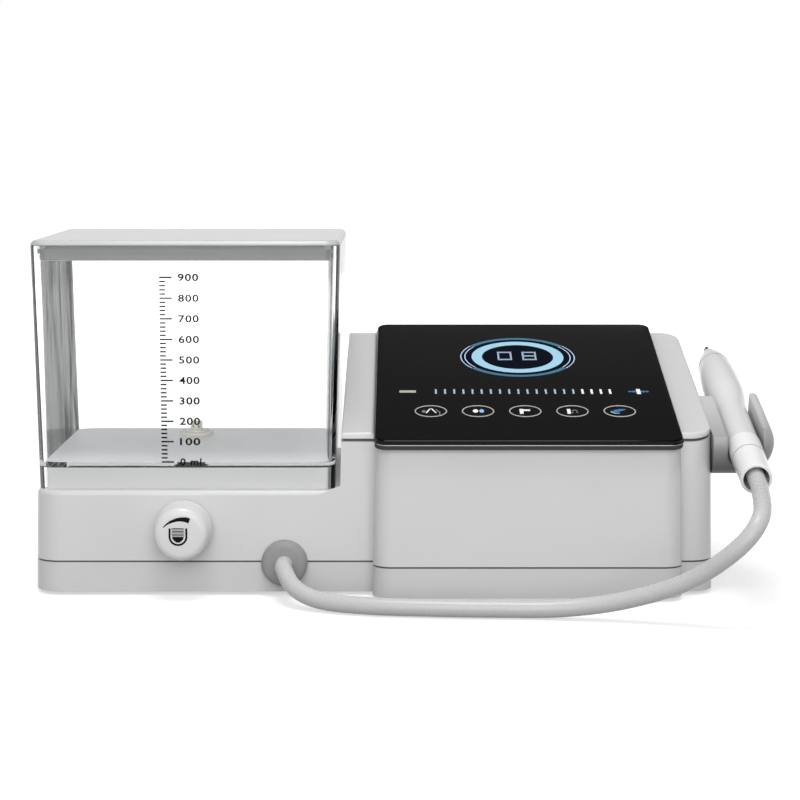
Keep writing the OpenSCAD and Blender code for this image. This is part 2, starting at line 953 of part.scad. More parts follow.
clamp_y = 13;
module cord_clamp() {
    color("silver") place() difference() {
        translate([grommet_x - 8, clamp_y, foot_h + wall_t])
            cube([16, 8, grommet_z + cord_r + 2 - foot_h - wall_t]);
        translate([grommet_x, 0, grommet_z])
            rotate([-90, 0, 0])
                cylinder(h = BIG, r = cord_r);
    }
}

module cord_tail() {
    color("whitesmoke") place() translate([grommet_x, -grommet_out, grommet_z]) rotate([-90, 0, 0])
        cylinder(h = grommet_out + tail_l, r = cord_r);
}

// The free cord: it leaves the grommet, lies on the table in front of the block and rises to the handpiece
cord_start = [grommet_x, -grommet_out, grommet_z];
cord_end = from_slope([hp_x, hp_rear - stub_out, hp_n]);
cord_points = [
    [-18, -23, 8],
    [-8, -31, 4.5],
    [10, -38, 3.8],
    [34, -42, 3.8],
    [62, -44, 3.8],
    [88, -46, 4.5],
    [112, -51, 9],
    [134, -59, 18],
    [151, -67, 32],
    [160, -62, 43]
];
module handpiece_cord() {
    color("white") place()
        even_tube(lead_route(cord_start, [0, -1, 0], cord_points, cord_end, slope_dir, 2 * cord_r, 2), cord_r,
            12, unit([-0.6, 0, 0.8]));
}

hose_r = 2.2;
pump_port_y = motor_y - case_l - port_l;
spigot_z = deck_z - 6;
module suction_hose() {
    color("lightcyan") place()
        even_tube(lead_route([valve_x, spigot_port_y, spigot_z], [0, -1, 0],
            [[valve_x - 6, 56, spigot_z - 1], [pump_x + 15, 38, 33], [pump_x + 5, 24, 27]],
            [pump_x - port_dx, pump_port_y, pump_z], [0, 1, 0], 4, 3), hose_r, 8, [0.3, 0, 1]);
}

module delivery_hose() {
    color("lightcyan") place()
        even_tube(lead_route([pump_x + port_dx, pump_port_y, pump_z], [0, -1, 0],
            [[pump_x + 11, 26, 17], [pump_x + 23, 24, 9], [solenoid_x - 23.2, 30, 7.5], [solenoid_x - 7.2, 40, 9]],
            [solenoid_x, solenoid_y - 18, solenoid_z], [0, 1, 0], 4, 3), hose_r, 8, [0.3, 0, 1]);
}

module valve_hose() {
    color("lightcyan") place()
        even_tube(lead_route([solenoid_x - 15, solenoid_y + 4, solenoid_z], [-1, 0, 0],
            [[solenoid_x - 26.2, 72, 17], [knob_x - 0.6, 60, 24]],
            [knob_x, shoulder_y + valve_l + 7, knob_z], [0, -1, 0], 4, 3), hose_r, 8, [0.3, 0, 1]);
}

lead_r = 1.5;
tail_y = tail_l;
module outlet_hose() {
    color("lightcyan") place()
        even_tube(lead_route([knob_x + bonnet_r + 7, shoulder_y + 18, knob_z], [1, 0, 0],
            [[-34, 25, 27], [-26, 36, 22]],
            [grommet_x - 1.8, tail_y, grommet_z], [0, -1, 0], 3, 3), lead_r, 8, [0.3, 0.2, 1]);
}

module handpiece_leads() {
    color("dimgray") place()
        even_tube(lead_route([grommet_x + 1.8, tail_y, grommet_z], [0, 1, 0],
            [[-18, 44, 12], [-6, 54, 10], [4, 54, 11]],
            [board_x, board_y + 42, board_z + board_t / 2], [1, 0, 0], 3, 3), board_t / 2, 8, [0, 0.2, 1]);
}

// Tank

nose_low = plinth_top - 12.5;
seat_z = nose_low + 3;
poppet_lift = 3;
head_low = seat_z + poppet_lift + 0.2;
poppet_low = nose_low - 1;
cup_in = 7.9;
cup_r = 8.4;
cup_wall_r = 10.5;
cup_low = deck_z - 10.5;
spigot_port_y = valve_y - cup_wall_r - 7;
module tank_spigot() {
    color("gray") place() translate([valve_x, valve_y, cup_low]) difference() {
        union() {
            cylinder(h = plinth_top - wall_t - cup_low, r = cup_wall_r);
            translate([0, 0, spigot_z - cup_low])
                rotate([90, 0, 0])
                    cylinder(h = cup_wall_r + 7, r = port_r);
        }
        translate([0, 0, 3])
            cylinder(h = BIG, r = cup_in);
        translate([0, 0, spigot_z - cup_low])
            rotate([90, 0, 0])
                cylinder(h = BIG, r = 1);
    }
    color("gray") place() translate([valve_x, valve_y, cup_low + 2])
        cylinder(h = poppet_low - cup_low - 2, r = 1.4);
}

nose_out = 6;
module tank_body() {
    color([0.85, 0.9, 0.93, 0.35]) place() difference() {
        tank_solid([deck_z + seat_gap, rim_z]);
        tank_solid([floor_z, rim_z + 1], tank_t);
        tank_solid([deck_z - 1, floor_z - floor_t], tank_t);
        translate([valve_x, valve_y, floor_z - floor_t - 1])
            cylinder(h = floor_t + 2, r = nose_out);
    }
}

lid_edge = 1.2;
module lid_plate(z, inset) {
    leaning_block([tank_x - tank_w / 2, tank_x + tank_w / 2], [tank_y, tank_y + tank_d], z, tank_r, inset);
}

module tank_lid() {
    color("lightgray") place() difference() {
        union() {
            lid_plate([rim_z, rim_z + lid_t - lid_edge], 0);
            lid_plate([rim_z + lid_t - lid_edge, rim_z + lid_t], lid_edge);
            tank_solid([rim_z - flange_h, rim_z + E], tank_t + gasket_t);
        }
        tank_solid([rim_z - flange_h - 1, rim_z], tank_t + gasket_t + 2);
    }
}

gasket_t = 1.2;
gasket_h = 1.6;
module lid_gasket() {
    z = rim_z - flange_h / 2;
    color("darkgray") place() difference() {
        tank_solid([z, z + gasket_h], tank_t + CLEAR);
        tank_solid([z - 1, z + gasket_h + 1], tank_t + gasket_t);
    }
}

chamber_r = 4.4;
module tank_valve() {
    color("whitesmoke") place() translate([valve_x, valve_y, 0]) difference() {
        union() {
            translate([0, 0, nose_low])
                cylinder(h = floor_z + 1.6 - nose_low, r = nose_out);
            translate([0, 0, floor_z])
                cylinder(h = 1.6, r = nose_out + 1.4);
        }
        translate([0, 0, nose_low - 1])
            cylinder(h = 5, r = 2.6);
        translate([0, 0, seat_z])
            cylinder(h = BIG, r = chamber_r);
        translate([0, 0, nose_low + 4])
            o_ring(seal_major, seal_minor);
    }
}

seal_minor = 1;
seal_major = cup_in - FIT - seal_minor;
module valve_seal() {
    color("black") place() translate([valve_x, valve_y, nose_low + 4])
        o_ring(seal_major, seal_minor);
}

head_h = 1.8;
module valve_poppet() {
    color("orange") place() translate([valve_x, valve_y, 0]) {
        translate([0, 0, head_low])
            cylinder(h = head_h, r = chamber_r - 0.5);
        translate([0, 0, poppet_low])
            cylinder(h = head_low - poppet_low + head_h / 2, r = 1.6);
    }
}

spring_low = head_low + head_h + 0.1;
spring_top = floor_z + 1.6;
spring_coil_r = 3.1;
wire_r = 0.35;
spring_turns = 3;
spring_steps = 12 * spring_turns;
spring_path = [for (k = [0 : spring_steps])
    [valve_x + spring_coil_r * cos(30 * k), valve_y + spring_coil_r * sin(30 * k),
        spring_low + wire_r + (spring_top - spring_low - 2 * wire_r) * k / spring_steps]];
module valve_spring() {
    color("silver") place()
        even_tube(spring_path, wire_r, 6, [0, 0, 1]);
}

strainer_h = 4.4;
strainer_r = 2.5;
strainer_wall = 0.9;
module strainer() {
    color("white") place() translate([valve_x, valve_y, spring_top]) difference() {
        union() {
            cylinder(h = strainer_wall, r = chamber_r + 0.8);
            cylinder(h = strainer_h, r = strainer_r);
        }
        translate([0, 0, -1])
            cylinder(h = strainer_h + 1 - strainer_wall, r = strainer_r - strainer_wall);
        for (a = [0 : 60 : 120])
            rotate([0, 0, a])
                translate([-strainer_r - 1, -0.5, 2 * strainer_wall])
                    cube([2 * strainer_r + 2, 1, strainer_h - 3 * strainer_wall]);
    }
}

// Holder

arm_left = 6.5;
arm_right = 8.3;
holder_screw_s = [holder_front + 4, holder_back - 6];
holder_screw_r = 1.5;
holder_boss_n = hp_n - 8;

module wall_side() {
    translate([0, BIG / 2, 0])
        rotate([90, 0, 0])
            linear_extrude(BIG)
                polygon([[console_w - lean(-20), -20], [console_w - lean(150), 150], [0, 150], [0, -20]]);
}

module holder_screw_holes() {
    on_slope()
        for (s = holder_screw_s)
            translate([console_w - 12, s, holder_boss_n])
                rotate([0, 90, 0])
                    cylinder(h = 18, r = holder_screw_r);
}

module holder_cradle() {
    color("darkgray") place() difference() {
        on_slope() {
            translate([hp_x, holder_front, hp_n]) {
                rotate([-90, 0, 0])
                    cylinder(h = holder_back - holder_front, r = holder_r);
                sphere(holder_r);
                rotate([0, -90, 0])
                    cylinder(h = hp_side + 3, r = holder_r);
            }
            translate([hp_x - hp_side - 3, holder_front, hp_n - holder_r])
                cube([hp_side + 3, holder_back - holder_front, 2 * holder_r]);
        }
        wall_side();
        on_slope() {
            translate([hp_x - BIG, -BIG / 2, hp_n + arm_left])
                cube([BIG, BIG, BIG]);
            translate([hp_x - E, -BIG / 2, hp_n + arm_right])
                cube([BIG, BIG, BIG]);
            translate([hp_x, -BIG / 2, hp_n])
                rotate([-90, 0, 0])
                    cylinder(h = BIG, r = channel_r);
            translate([hp_x - channel_r, -BIG / 2, hp_n])
                cube([2 * channel_r, BIG, BIG]);
        }
        holder_screw_holes();
    }
}

module holder_screws() {
    color("silver") place() on_slope() for (s = holder_screw_s)
        translate([console_w - wall_t - lean(62) - 1.6, s, holder_boss_n])
            rotate([0, 90, 0]) {
                cylinder(h = 9, r = holder_screw_r);
                cylinder(h = 1.6, r = 2.6);
            }
}

// Handpiece, along its own axis from the rear rim

sleeve_z = cap_l;
sleeve_end = cap_l + sleeve_l;
flare_z = 70;
grip_z = 96;
skin_t = 1.3;
function blend(t) = t * t * (3 - 2 * t);
function sleeve_at(z) = z < flare_z ? sleeve_r
    : z < grip_z ? sleeve_r + (grip_r - sleeve_r) * blend((z - flare_z) / (grip_z - flare_z))
    : nose_r + (grip_r - nose_r) * sqrt(max(0, 1 - ((z - grip_z) / (sleeve_end - grip_z)) ^ 2));
sleeve_stations = concat(
    [sleeve_z, flare_z],
    [for (k = [1 : 7]) flare_z + k * (grip_z - flare_z) / 8],
    [for (a = [0 : 7.5 : 90]) grip_z + (sleeve_end - grip_z) * sin(a)]
);

module handpiece_sleeve() {
    color("whitesmoke") place() along_handpiece() difference() {
        rotate_extrude()
            polygon(concat(
                [[0, sleeve_z]],
                [for (z = sleeve_stations) [sleeve_at(z), z]],
                [[0, sleeve_end]]
            ));
        translate([0, 0, sleeve_z - 1])
            cylinder(h = sleeve_end - 20 - sleeve_z + 1, r = sleeve_r - skin_t);
        translate([0, 0, sleeve_end - 21])
            cylinder(h = 30, r = horn_front_r + 0.9);
    }
}

module nose_cone() {
    color("lightgray") place() along_handpiece() difference() {
        translate([0, 0, sleeve_end])
            rotate_extrude()
                polygon([[0, 0], [nose_r, 0], [nose_r - 0.7, nose_l * 0.4], [nose_r - 1.7, nose_l * 0.75],
                    [shank_r + 0.5, nose_l], [0, nose_l]]);
        translate([0, 0, sleeve_end - 1])
            cylinder(h = nose_l + 2, r = shank_r + CLEAR);
    }
}

shank_r = 1.2;
nose_end = sleeve_end + nose_l;
tip_path = lead_route([0, 0, nose_end - 1], [0, 0, 1],
    [[0, -0.1, nose_end + tip_l - 4.5], [-0.1, 0.2, nose_end + tip_l - 2.2], [-0.3, 1.5, nose_end + tip_l - 0.6]],
    [-0.6, 3.6, nose_end + tip_l - 0.2], unit([-0.15, 1, 0.1]), 1, 3);
tip_radii = [for (i = [0 : len(tip_path) - 1]) 0.95 - 0.55 * i / (len(tip_path) - 1)];
module scaler_tip() {
    color("dimgray") place() along_handpiece() {
        translate([0, 0, horn_end])
            cylinder(h = nose_end - horn_end, r = shank_r);
        tube(tip_path, tip_radii, 12, [1, 0, 0.2]);
    }
}

rim_bore_r = 5.2;
bore_l = 22;
module rear_cap() {
    color("white") place() along_handpiece() difference() {
        rotate_extrude()
            polygon([[0, 0], [cap_rim_r - 0.4, 0], [cap_rim_r, 0.5], [cap_rim_r + 0.15, 8],
                [cap_r, cap_l - 6], [cap_r, cap_l - 0.6], [cap_r - 0.4, cap_l], [0, cap_l]]);
        translate([0, 0, -1])
            cylinder(h = bore_l + 1, r = rim_bore_r);
        translate([0, 0, bore_l - 1])
            cylinder(h = cap_l, r = plug_r);
    }
}

plug_r = 4.6;
module cord_plug() {
    color("whitesmoke") place() along_handpiece() {
        translate([0, 0, -stub_out])
            cylinder(h = bore_l + stub_out + 1, r = cord_r);
        translate([0, 0, bore_l])
            cylinder(h = cap_l - bore_l + 6, r = plug_r);
    }
}

mass_z = cap_l + 7;
mass_l = 14;
stack_l = 12;
horn_z = mass_z + mass_l + stack_l;
horn_end = sleeve_end - 4;
horn_r = 4.6;
horn_front_r = 2.4;
module back_mass() {
    color("slategray") place() along_handpiece()
        translate([0, 0, mass_z])
            cylinder(h = mass_l, r = horn_r);
}

module piezo_stack() {
    color("khaki") place() along_handpiece()
        translate([0, 0, mass_z + mass_l])
            for (k = [0 : 3])
                translate([0, 0, k * stack_l / 4]) {
                    cylinder(h = stack_l / 4, r = horn_r - 0.4);
                    cylinder(h = 0.3, r = horn_r);
                }
}

module horn() {
    color("lightslategray") place() along_handpiece()
        translate([0, 0, horn_z])
            rotate_extrude()
                polygon([[0, 0], [horn_r, 0], [horn_r, 14], [horn_front_r, 34],
                    [horn_front_r, horn_end - horn_z], [0, horn_end - horn_z]]);
}

module front_o_ring() {
    color("black") place() along_handpiece()
        translate([0, 0, sleeve_end - 12])
            o_ring(horn_front_r + 0.45, 0.4);
}

// Rear fittings

jack_body_r = 6;
jack_bore_r = 2.8;
foot_bore_r = 1.8;
jack_l = 16;
flange_r = 8;
flange_t = 1.2;
module rear_jack(x, bore) {
    translate([x, pocket_y + flange_t, jack_z]) rotate([90, 0, 0]) difference() {
        union() {
            cylinder(h = flange_t, r = flange_r);
            cylinder(h = jack_l, r = jack_body_r);
        }
        translate([0, 0, -1])
            cylinder(h = jack_l - 3, r = bore);
    }
}

module rear_sockets() {
    color("dimgray") place() {
        rear_jack(power_jack_x, jack_bore_r);
        rear_jack(foot_jack_x, foot_bore_r);
    }
}

switch_w = 19;
switch_h = 12.8;
rocker_w = 14.6;
rocker_h = 9.4;
rocker_tilt = 9;
rocker_y = pocket_y - 2.5;
pivot_r = 1.2;
pivot_l = 1.4;
module rocker_axis(r, w) {
    translate([switch_x - w / 2, rocker_y, jack_z])
        rotate([0, 90, 0])
            cylinder(h = w, r = r);
}

module switch_frame() {
    color("black") place() difference() {
        union() {
            translate([switch_x - switch_w / 2 - 1, pocket_y, jack_z - switch_h / 2 - 1])
                cube([switch_w + 2, 1.5, switch_h + 2]);
            translate([switch_x - switch_w / 2, pocket_y - 14, jack_z - switch_h / 2])
                cube([switch_w, 14 + E, switch_h]);
        }
        translate([switch_x - rocker_w / 2 - CLEAR, pocket_y - 8, jack_z - rocker_h / 2 - 1])
            cube([rocker_w + 2 * CLEAR, 20, rocker_h + 2]);
        rocker_axis(pivot_r + FIT, rocker_w + 2 * CLEAR + 2 * pivot_l);
    }
}

module power_rocker() {
    color("dimgray") place() {
        rocker_axis(pivot_r, rocker_w + 2 * pivot_l);
        translate([switch_x - rocker_w / 2, rocker_y, jack_z])
            rotate([-rocker_tilt, 0, 0])
                rotate([90, 0, 90])
                    linear_extrude(rocker_w)
                        polygon([[-2.5, -2.5], [2, -rocker_h / 2], [5, -rocker_h / 2], [3.9, 0],
                            [5, rocker_h / 2], [2, rocker_h / 2], [-2.5, 2.5]]);
    }
}

bottom_tray();
main_housing();
top_cover();
rubber_feet();
housing_screws();
panel_frame();
touch_glass();
display_board();
display_ring();
digit_display();
level_bar();
key_lights();
ribbon_cable();
main_board();
output_transformer();
heat_sink();
capacitors();
buzzer();
pump_motor();
pump_case();
pump_rotor();
pump_tube();
pump_saddle();
solenoid_valve();
flow_valve();
valve_nut();
knob();
knob_spindle();
suction_hose();
delivery_hose();
valve_hose();
outlet_hose();
handpiece_leads();
cable_grommet();
cord_clamp();
cord_tail();
handpiece_cord();
tank_spigot();
tank_body();
tank_lid();
lid_gasket();
tank_valve();
valve_poppet();
valve_spring();
valve_seal();
strainer();
holder_cradle();
holder_screws();
handpiece_sleeve();
nose_cone();
scaler_tip();
rear_cap();
cord_plug();
horn();
piezo_stack();
back_mass();
front_o_ring();
rear_sockets();
switch_frame();
power_rocker();
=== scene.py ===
# %% [markdown]
# # An ultrasonic dental scaler, dressed for a photograph
#
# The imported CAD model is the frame: a low white base, a clear water tank, a raised console with a
# black glass panel, a water knob and a handpiece in its cradle, tied to the base by one cord.
# This script gives it edges, prints and finishes. It never moves a CAD part. All drawing below is
# in millimetres, in the CAD's own axes, and is turned into metres when it is put in its place.

# %% Load the frame
import math

import bmesh
import bpy
from mathutils import Matrix, Vector


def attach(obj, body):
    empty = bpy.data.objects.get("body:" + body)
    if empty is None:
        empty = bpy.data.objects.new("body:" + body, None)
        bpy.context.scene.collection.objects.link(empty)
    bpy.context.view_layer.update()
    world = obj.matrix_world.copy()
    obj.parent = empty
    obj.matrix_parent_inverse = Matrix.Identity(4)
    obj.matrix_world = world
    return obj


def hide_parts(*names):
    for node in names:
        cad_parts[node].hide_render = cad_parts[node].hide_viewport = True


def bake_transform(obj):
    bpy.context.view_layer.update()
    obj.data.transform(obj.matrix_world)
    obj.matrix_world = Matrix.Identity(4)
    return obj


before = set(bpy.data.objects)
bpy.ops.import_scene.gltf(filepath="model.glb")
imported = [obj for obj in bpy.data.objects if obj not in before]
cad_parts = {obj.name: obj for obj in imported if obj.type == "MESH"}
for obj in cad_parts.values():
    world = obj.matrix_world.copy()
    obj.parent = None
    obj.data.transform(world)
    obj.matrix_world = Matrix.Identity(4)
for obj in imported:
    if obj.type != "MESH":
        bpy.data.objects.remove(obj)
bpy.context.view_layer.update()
MM = 0.001

# %% [markdown]
# ## Where things are
#
# The console's top is a slope, so most of its parts are easiest to place by a distance up the slope
# and a height above it. A small matrix does that: it takes a flat drawing, with x to the right and y
# upwards, and lays it on the slope, on the tank's front wall or on the knob's face.

# %% Places on the object
SLOPE = math.radians(13.9)
BASE_LEFT = -26.0       # the console's left wall
BASE_FRONT = -49.916
SLOPE_START = 65.9      # height of the slope above the base's front
DECK_TOP = 42.8
GLASS_MID = BASE_LEFT + 75.165
GLASS_FRONT = -16.104   # along the slope, from the base's front
GLASS_TOP = 3.6
HANDPIECE_X = BASE_LEFT + 163.8
HANDPIECE_REAR = -28    # along the slope
HANDPIECE_DROP = -7.9


def place(origin, right, up):
    """A matrix that lays a drawing in millimetres at origin, with its x to the right and its y up."""
    x_axis = Vector(right).normalized()
    y_axis = Vector(up).normalized()
    z_axis = x_axis.cross(y_axis)
    turn = Matrix((x_axis, y_axis, z_axis)).transposed().to_4x4()
    return Matrix.Scale(MM, 4) @ Matrix.Translation(Vector(origin)) @ turn


def on_slope(x, along, height):
    """The point at x, a distance up the slope from the base's front, and a height above the slope."""
    y = BASE_FRONT + along * math.cos(SLOPE) - height * math.sin(SLOPE)
    z = SLOPE_START + along * math.sin(SLOPE) + height * math.cos(SLOPE)
    return Vector((x, y, z))


def above_slope(p):
    """How far a point is above the console's slope."""
    return (p.z - SLOPE_START) * math.cos(SLOPE) - (p.y - BASE_FRONT) * math.sin(SLOPE)


UP_SLOPE = (0, math.cos(SLOPE), math.sin(SLOPE))
panel_face = place(on_slope(GLASS_MID, GLASS_FRONT, GLASS_TOP), (1, 0, 0), UP_SLOPE)
print("panel face starts at", [round(v, 4) for v in panel_face.translation])

# %% [markdown]
# ## The camera
#
# The photograph looks straight at the front, from a little above the tank, with a long lens. The
# place and the lens come from fitting the object's known corners to their places in the picture.

# %% Camera
CAMERA_AT = Vector((-2.04, -953.42, 188.8))
CAMERA_TILT = 6.88      # degrees below level
eye = bpy.data.cameras.new("photo_camera")
eye.sensor_width = 36
eye.sensor_height = 36
eye.sensor_fit = "HORIZONTAL"
eye.lens = 101.93
eye.clip_start = 0.05
eye.clip_end = 50
camera = bpy.data.objects.new("photo_camera", eye)
camera.location = CAMERA_AT * MM
camera.rotation_euler = (math.radians(90 - CAMERA_TILT), 0, 0)
bpy.context.scene.collection.objects.link(camera)
bpy.context.scene.camera = camera
print("lens", eye.lens, "mm, eye", round(-camera.location.y, 3), "m in front of the object's middle")

# %% [markdown]
# ## Making a piece
#
# Every piece is shaped in a bmesh and then becomes an object that sits at the origin. Its normals are
# made to point outwards, and edges sharper than 30 degrees stay sharp when it is shaded smooth.

# %% From a bmesh to an object
CREASE = math.radians(30)


def to_object(bm, name, finish, matrix=None, closed=True):
    """Makes an object named name from a bmesh, after laying it in its place."""
    if matrix is not None:
        bm.transform(matrix)
    if closed:
        bmesh.ops.recalc_face_normals(bm, faces=bm.faces)
    for face in bm.faces:
        face.smooth = True
    for edge in bm.edges:
        edge.smooth = not (edge.is_manifold and edge.calc_face_angle(0) > CREASE)
    mesh = bpy.data.meshes.new(name)
    bm.to_mesh(mesh)
    bm.free()
    mesh.materials.append(finish)
    made = bpy.data.objects.new(name, mesh)
    bpy.context.scene.collection.objects.link(made)
    return made


print("edges over", round(math.degrees(CREASE)), "degrees stay sharp")

# %% [markdown]
# ## Colours and nodes
#
# Colours are written as they look on screen, in hex, and turned into the linear values that Blender
# works with. One helper adds a node, sets it and links it, so that each material reads as a recipe.

# %% Colour and node helpers
def colour(code, factor=1.0):
    """A hex colour as seen on screen, as linear red, green, blue and alpha, times a factor."""
    parts = [int(code[k:k + 2], 16) / 255 for k in (1, 3, 5)]
    linear = [c / 12.92 if c <= 0.04045 else ((c + 0.055) / 1.055) ** 2.4 for c in parts]
    return (*[min(c * factor, 1.0) for c in linear], 1.0)


def set_inputs(node, inputs):
    """Sets a node's inputs: a socket is linked, and anything else becomes the input's value."""
    for socket, value in inputs.items():
        if isinstance(value, bpy.types.NodeSocket):
            node.id_data.links.new(value, node.inputs[socket])
        else:
            node.inputs[socket].default_value = value


def add_node(tree, kind, inputs=None, **settings):
    """Adds a node, sets its properties, and sets or links its inputs."""
    made = tree.nodes.new(kind)
    for setting, value in settings.items():
        setattr(made, setting, value)
    set_inputs(made, inputs or {})
    return made


def new_material(name):
    """An empty material: its tree, its shader, and its object coordinates."""
    made = bpy.data.materials.new(name)
    made.use_nodes = True
    tree = made.node_tree
    shader = tree.nodes["Principled BSDF"]
    place_on = add_node(tree, "ShaderNodeTexCoord").outputs["Object"]
    return made, tree, shader, place_on


def per_metre(size_mm):
    """The scale of a pattern whose features are about size_mm across."""
    return 1000 / size_mm


print("the middle grey #808080 is", round(colour("#808080")[0], 3), "in linear light")

# %% [markdown]
# ## Moulded plastics
#
# The shell is satin ABS from a spark-eroded mould. Three things show that it is plastic and not paint:
# a fine grain that scatters the light, a slow change of tone where the plastic flowed, and a gloss
# that isn't the same everywhere. The grain of a real mould is about 0.05 mm and wouldn't show from
# here, so it is drawn at 0.5 mm and very shallow. ABS has an index of refraction of 1.53.

# %% Moulded plastic recipe
FLOW_MM = 35


def moulded(name, base, roughness, grain_mm=0.5, grain=0.006, ior=1.53):
    """A moulded plastic with a slow change of tone, a fine grain and a roughness that varies."""
    made, tree, shader, place_on = new_material(name)
    flow = add_node(tree, "ShaderNodeTexNoise",
                    {"Vector": place_on, "Scale": per_metre(FLOW_MM), "Detail": 3.0})
    tone = add_node(tree, "ShaderNodeMix",
                    {"Factor": flow.outputs["Fac"], "A": colour(base, 0.97), "B": colour(base, 1.03)},
                    data_type="RGBA")
    fine = add_node(tree, "ShaderNodeTexNoise",
                    {"Vector": place_on, "Scale": per_metre(grain_mm), "Detail": 2.0})
    rough = add_node(tree, "ShaderNodeMapRange",
                     {"Value": fine.outputs["Fac"],
                      "To Min": roughness - 0.04, "To Max": roughness + 0.05})
    bump = add_node(tree, "ShaderNodeBump",
                    {"Height": fine.outputs["Fac"], "Strength": 0.4, "Distance": grain * MM})
    set_inputs(shader, {"Base Color": tone.outputs["Result"], "Roughness": rough.outputs["Result"],
                        "Normal": bump.outputs["Normal"], "IOR": ior})
    return made


print("plastics change tone over about", FLOW_MM, "mm")

# %% [markdown]
# ## Plastics of the case
#
# The case is off-white, the tray under it a touch darker and rougher, and the lid a light grey. The
# knob and the handpiece are smoother and whiter, because hands and cleaning polish them. The plug
# under the lid's rim and the groove between two mouldings lie in deep shade, and that shade is painted
# on them as dark greys of their own.

# %% Case, knob, lid and handpiece
white_abs = moulded("white_abs_satin", "#D3D3D3", 0.24)
tray_abs = moulded("white_abs_tray", "#CCCCCC", 0.34)
black_abs = moulded("black_abs_matt", "#151515", 0.5)
knob_abs = moulded("knob_abs_white", "#DEDEDE", 0.22, grain=0.003)
lid_abs = moulded("lid_abs_grey", "#BFC0C0", 0.22)
# Painted shade: dark greys for the lid's plug and the floors of the grooves, where shade falls.
lid_plug_painted_shade = moulded("lid_plug_painted_shade_grey", "#747575", 0.35)
groove_painted_shade = moulded("seam_painted_shade", "#4C4C4C", 0.6)
sleeve_abs = moulded("handpiece_sleeve_white", "#DEDEDE", 0.18, grain=0.002)
cap_abs = moulded("handpiece_cap_white", "#EFEFEF", 0.16, grain=0.002)
nose_abs = moulded("nose_polymer_grey", "#CFCFCF", 0.2, grain=0.002)
print("plastics of the case:", len(bpy.data.materials))

# %% [markdown]
# ## The holder
#
# The holder is the same ABS, but in the photograph it grows dark towards its lower end, where it hangs
# under the console in its own shade. A gradient by height carries that on, from the tone of the
# plastic to a dark grey.

# %% Holder plastic, with painted shade below
HOLDER_PALE_Z, HOLDER_DARK_Z = 0.073, 0.05      # metres above the table
holder_abs = moulded("holder_abs_grey_painted_shade", "#C6C6C6", 0.4)
tree = holder_abs.node_tree
shader = tree.nodes["Principled BSDF"]
plain_tone = shader.inputs["Base Color"].links[0].from_socket
height = add_node(tree, "ShaderNodeSeparateXYZ",
                  {"Vector": add_node(tree, "ShaderNodeTexCoord").outputs["Object"]})
low_down = add_node(tree, "ShaderNodeMapRange", {"Value": height.outputs["Z"], "From Min": HOLDER_PALE_Z,
                                                 "From Max": HOLDER_DARK_Z})
# Painted shade: from HOLDER_PALE_Z down to HOLDER_DARK_Z the holder's colour turns to a dark grey.
shade = add_node(tree, "ShaderNodeMix", {"Factor": low_down.outputs["Result"], "A": plain_tone,
                                         "B": colour("#404040")}, data_type="RGBA")
set_inputs(shader, {"Base Color": shade.outputs["Result"]})
print("holder: pale above", HOLDER_PALE_Z, "m, dark below", HOLDER_DARK_Z, "m")

# %% [markdown]
# ## Rubbers, and what is inside
#
# Rubber is rougher than plastic, and its grain is finer and deeper, so it hardly shines. The parts
# inside get what such parts are made of: nylon, acetal, PVC sleeves, sintered ferrite, fired ceramic.

# %% Rubbers and the parts inside
grommet_rubber = moulded("grommet_rubber_grey", "#909090", 0.5, grain_mm=0.35, grain=0.01)
black_rubber = moulded("nitrile_rubber_black", "#1D1D1D", 0.7, grain_mm=0.4, grain=0.015)
gasket_rubber = moulded("gasket_silicone_grey", "#747474", 0.55)
grey_nylon = moulded("grey_nylon", "#8C8E90", 0.45)
ivory_acetal = moulded("ivory_acetal", "#D9D6CC", 0.35)
pvc_blue = moulded("pvc_sleeve_blue", "#27508F", 0.35)
ferrite = moulded("ferrite_sintered", "#2B2926", 0.65, grain_mm=0.3, grain=0.02)
ceramic = moulded("piezo_ceramic", "#C9BFA0", 0.5, grain_mm=0.25)
light_guide = moulded("light_guide_acrylic", "#DCE9EF", 0.3)
board_green = moulded("circuit_board_green", "#1F6B3A", 0.35)
print("plastics and rubbers in all:", len(bpy.data.materials))

# %% [markdown]
# ## Silicone
#
# The cord's jacket and the hoses are silicone: soft, a little waxy, with light going a short way in.
# Subsurface scattering gives that, 0.3 mm deep in the pale grey jacket and 1.5 mm in the clearer
# hoses. Silicone has an index of refraction of 1.41.

# %% Silicone recipe
def silicone(name, base, roughness, depth_mm):
    """A silicone: slightly mottled, satin, with light that goes in a short way."""
    made, tree, shader, place_on = new_material(name)
    mottle = add_node(tree, "ShaderNodeTexNoise",
                      {"Vector": place_on, "Scale": per_metre(6), "Detail": 4.0})
    tone = add_node(tree, "ShaderNodeMix",
                    {"Factor": mottle.outputs["Fac"], "A": colour(base, 0.97), "B": colour(base, 1.02)},
                    data_type="RGBA")
    dust = add_node(tree, "ShaderNodeTexNoise", {"Vector": place_on, "Scale": per_metre(0.8)})
    rough = add_node(tree, "ShaderNodeMapRange",
                     {"Value": dust.outputs["Fac"],
                      "To Min": roughness - 0.05, "To Max": roughness + 0.05})
    set_inputs(shader, {"Base Color": tone.outputs["Result"], "Roughness": rough.outputs["Result"],
                        "IOR": 1.41, "Subsurface Weight": 0.12, "Subsurface Scale": 1.0,
                        "Subsurface Radius": (depth_mm * MM, depth_mm * MM, depth_mm * MM)})
    return made


cord_silicone = silicone("cord_jacket_silicone", "#C6C6C6", 0.28, 0.3)
hose_silicone = silicone("hose_silicone", "#D9DCDD", 0.3, 1.5)
print("silicones:", cord_silicone.name, hose_silicone.name)

# %% [markdown]
# ## Metals
#
# Turned steel shows rings of tool marks, drawn here as a noise that is coarse enough to see. Brass and
# aluminium differ in colour and in how bright their finish is. Metals keep Blender's own index of
# refraction.

# %% Metal recipe
MARK_MM, MARK_DEPTH = 0.4, 0.004


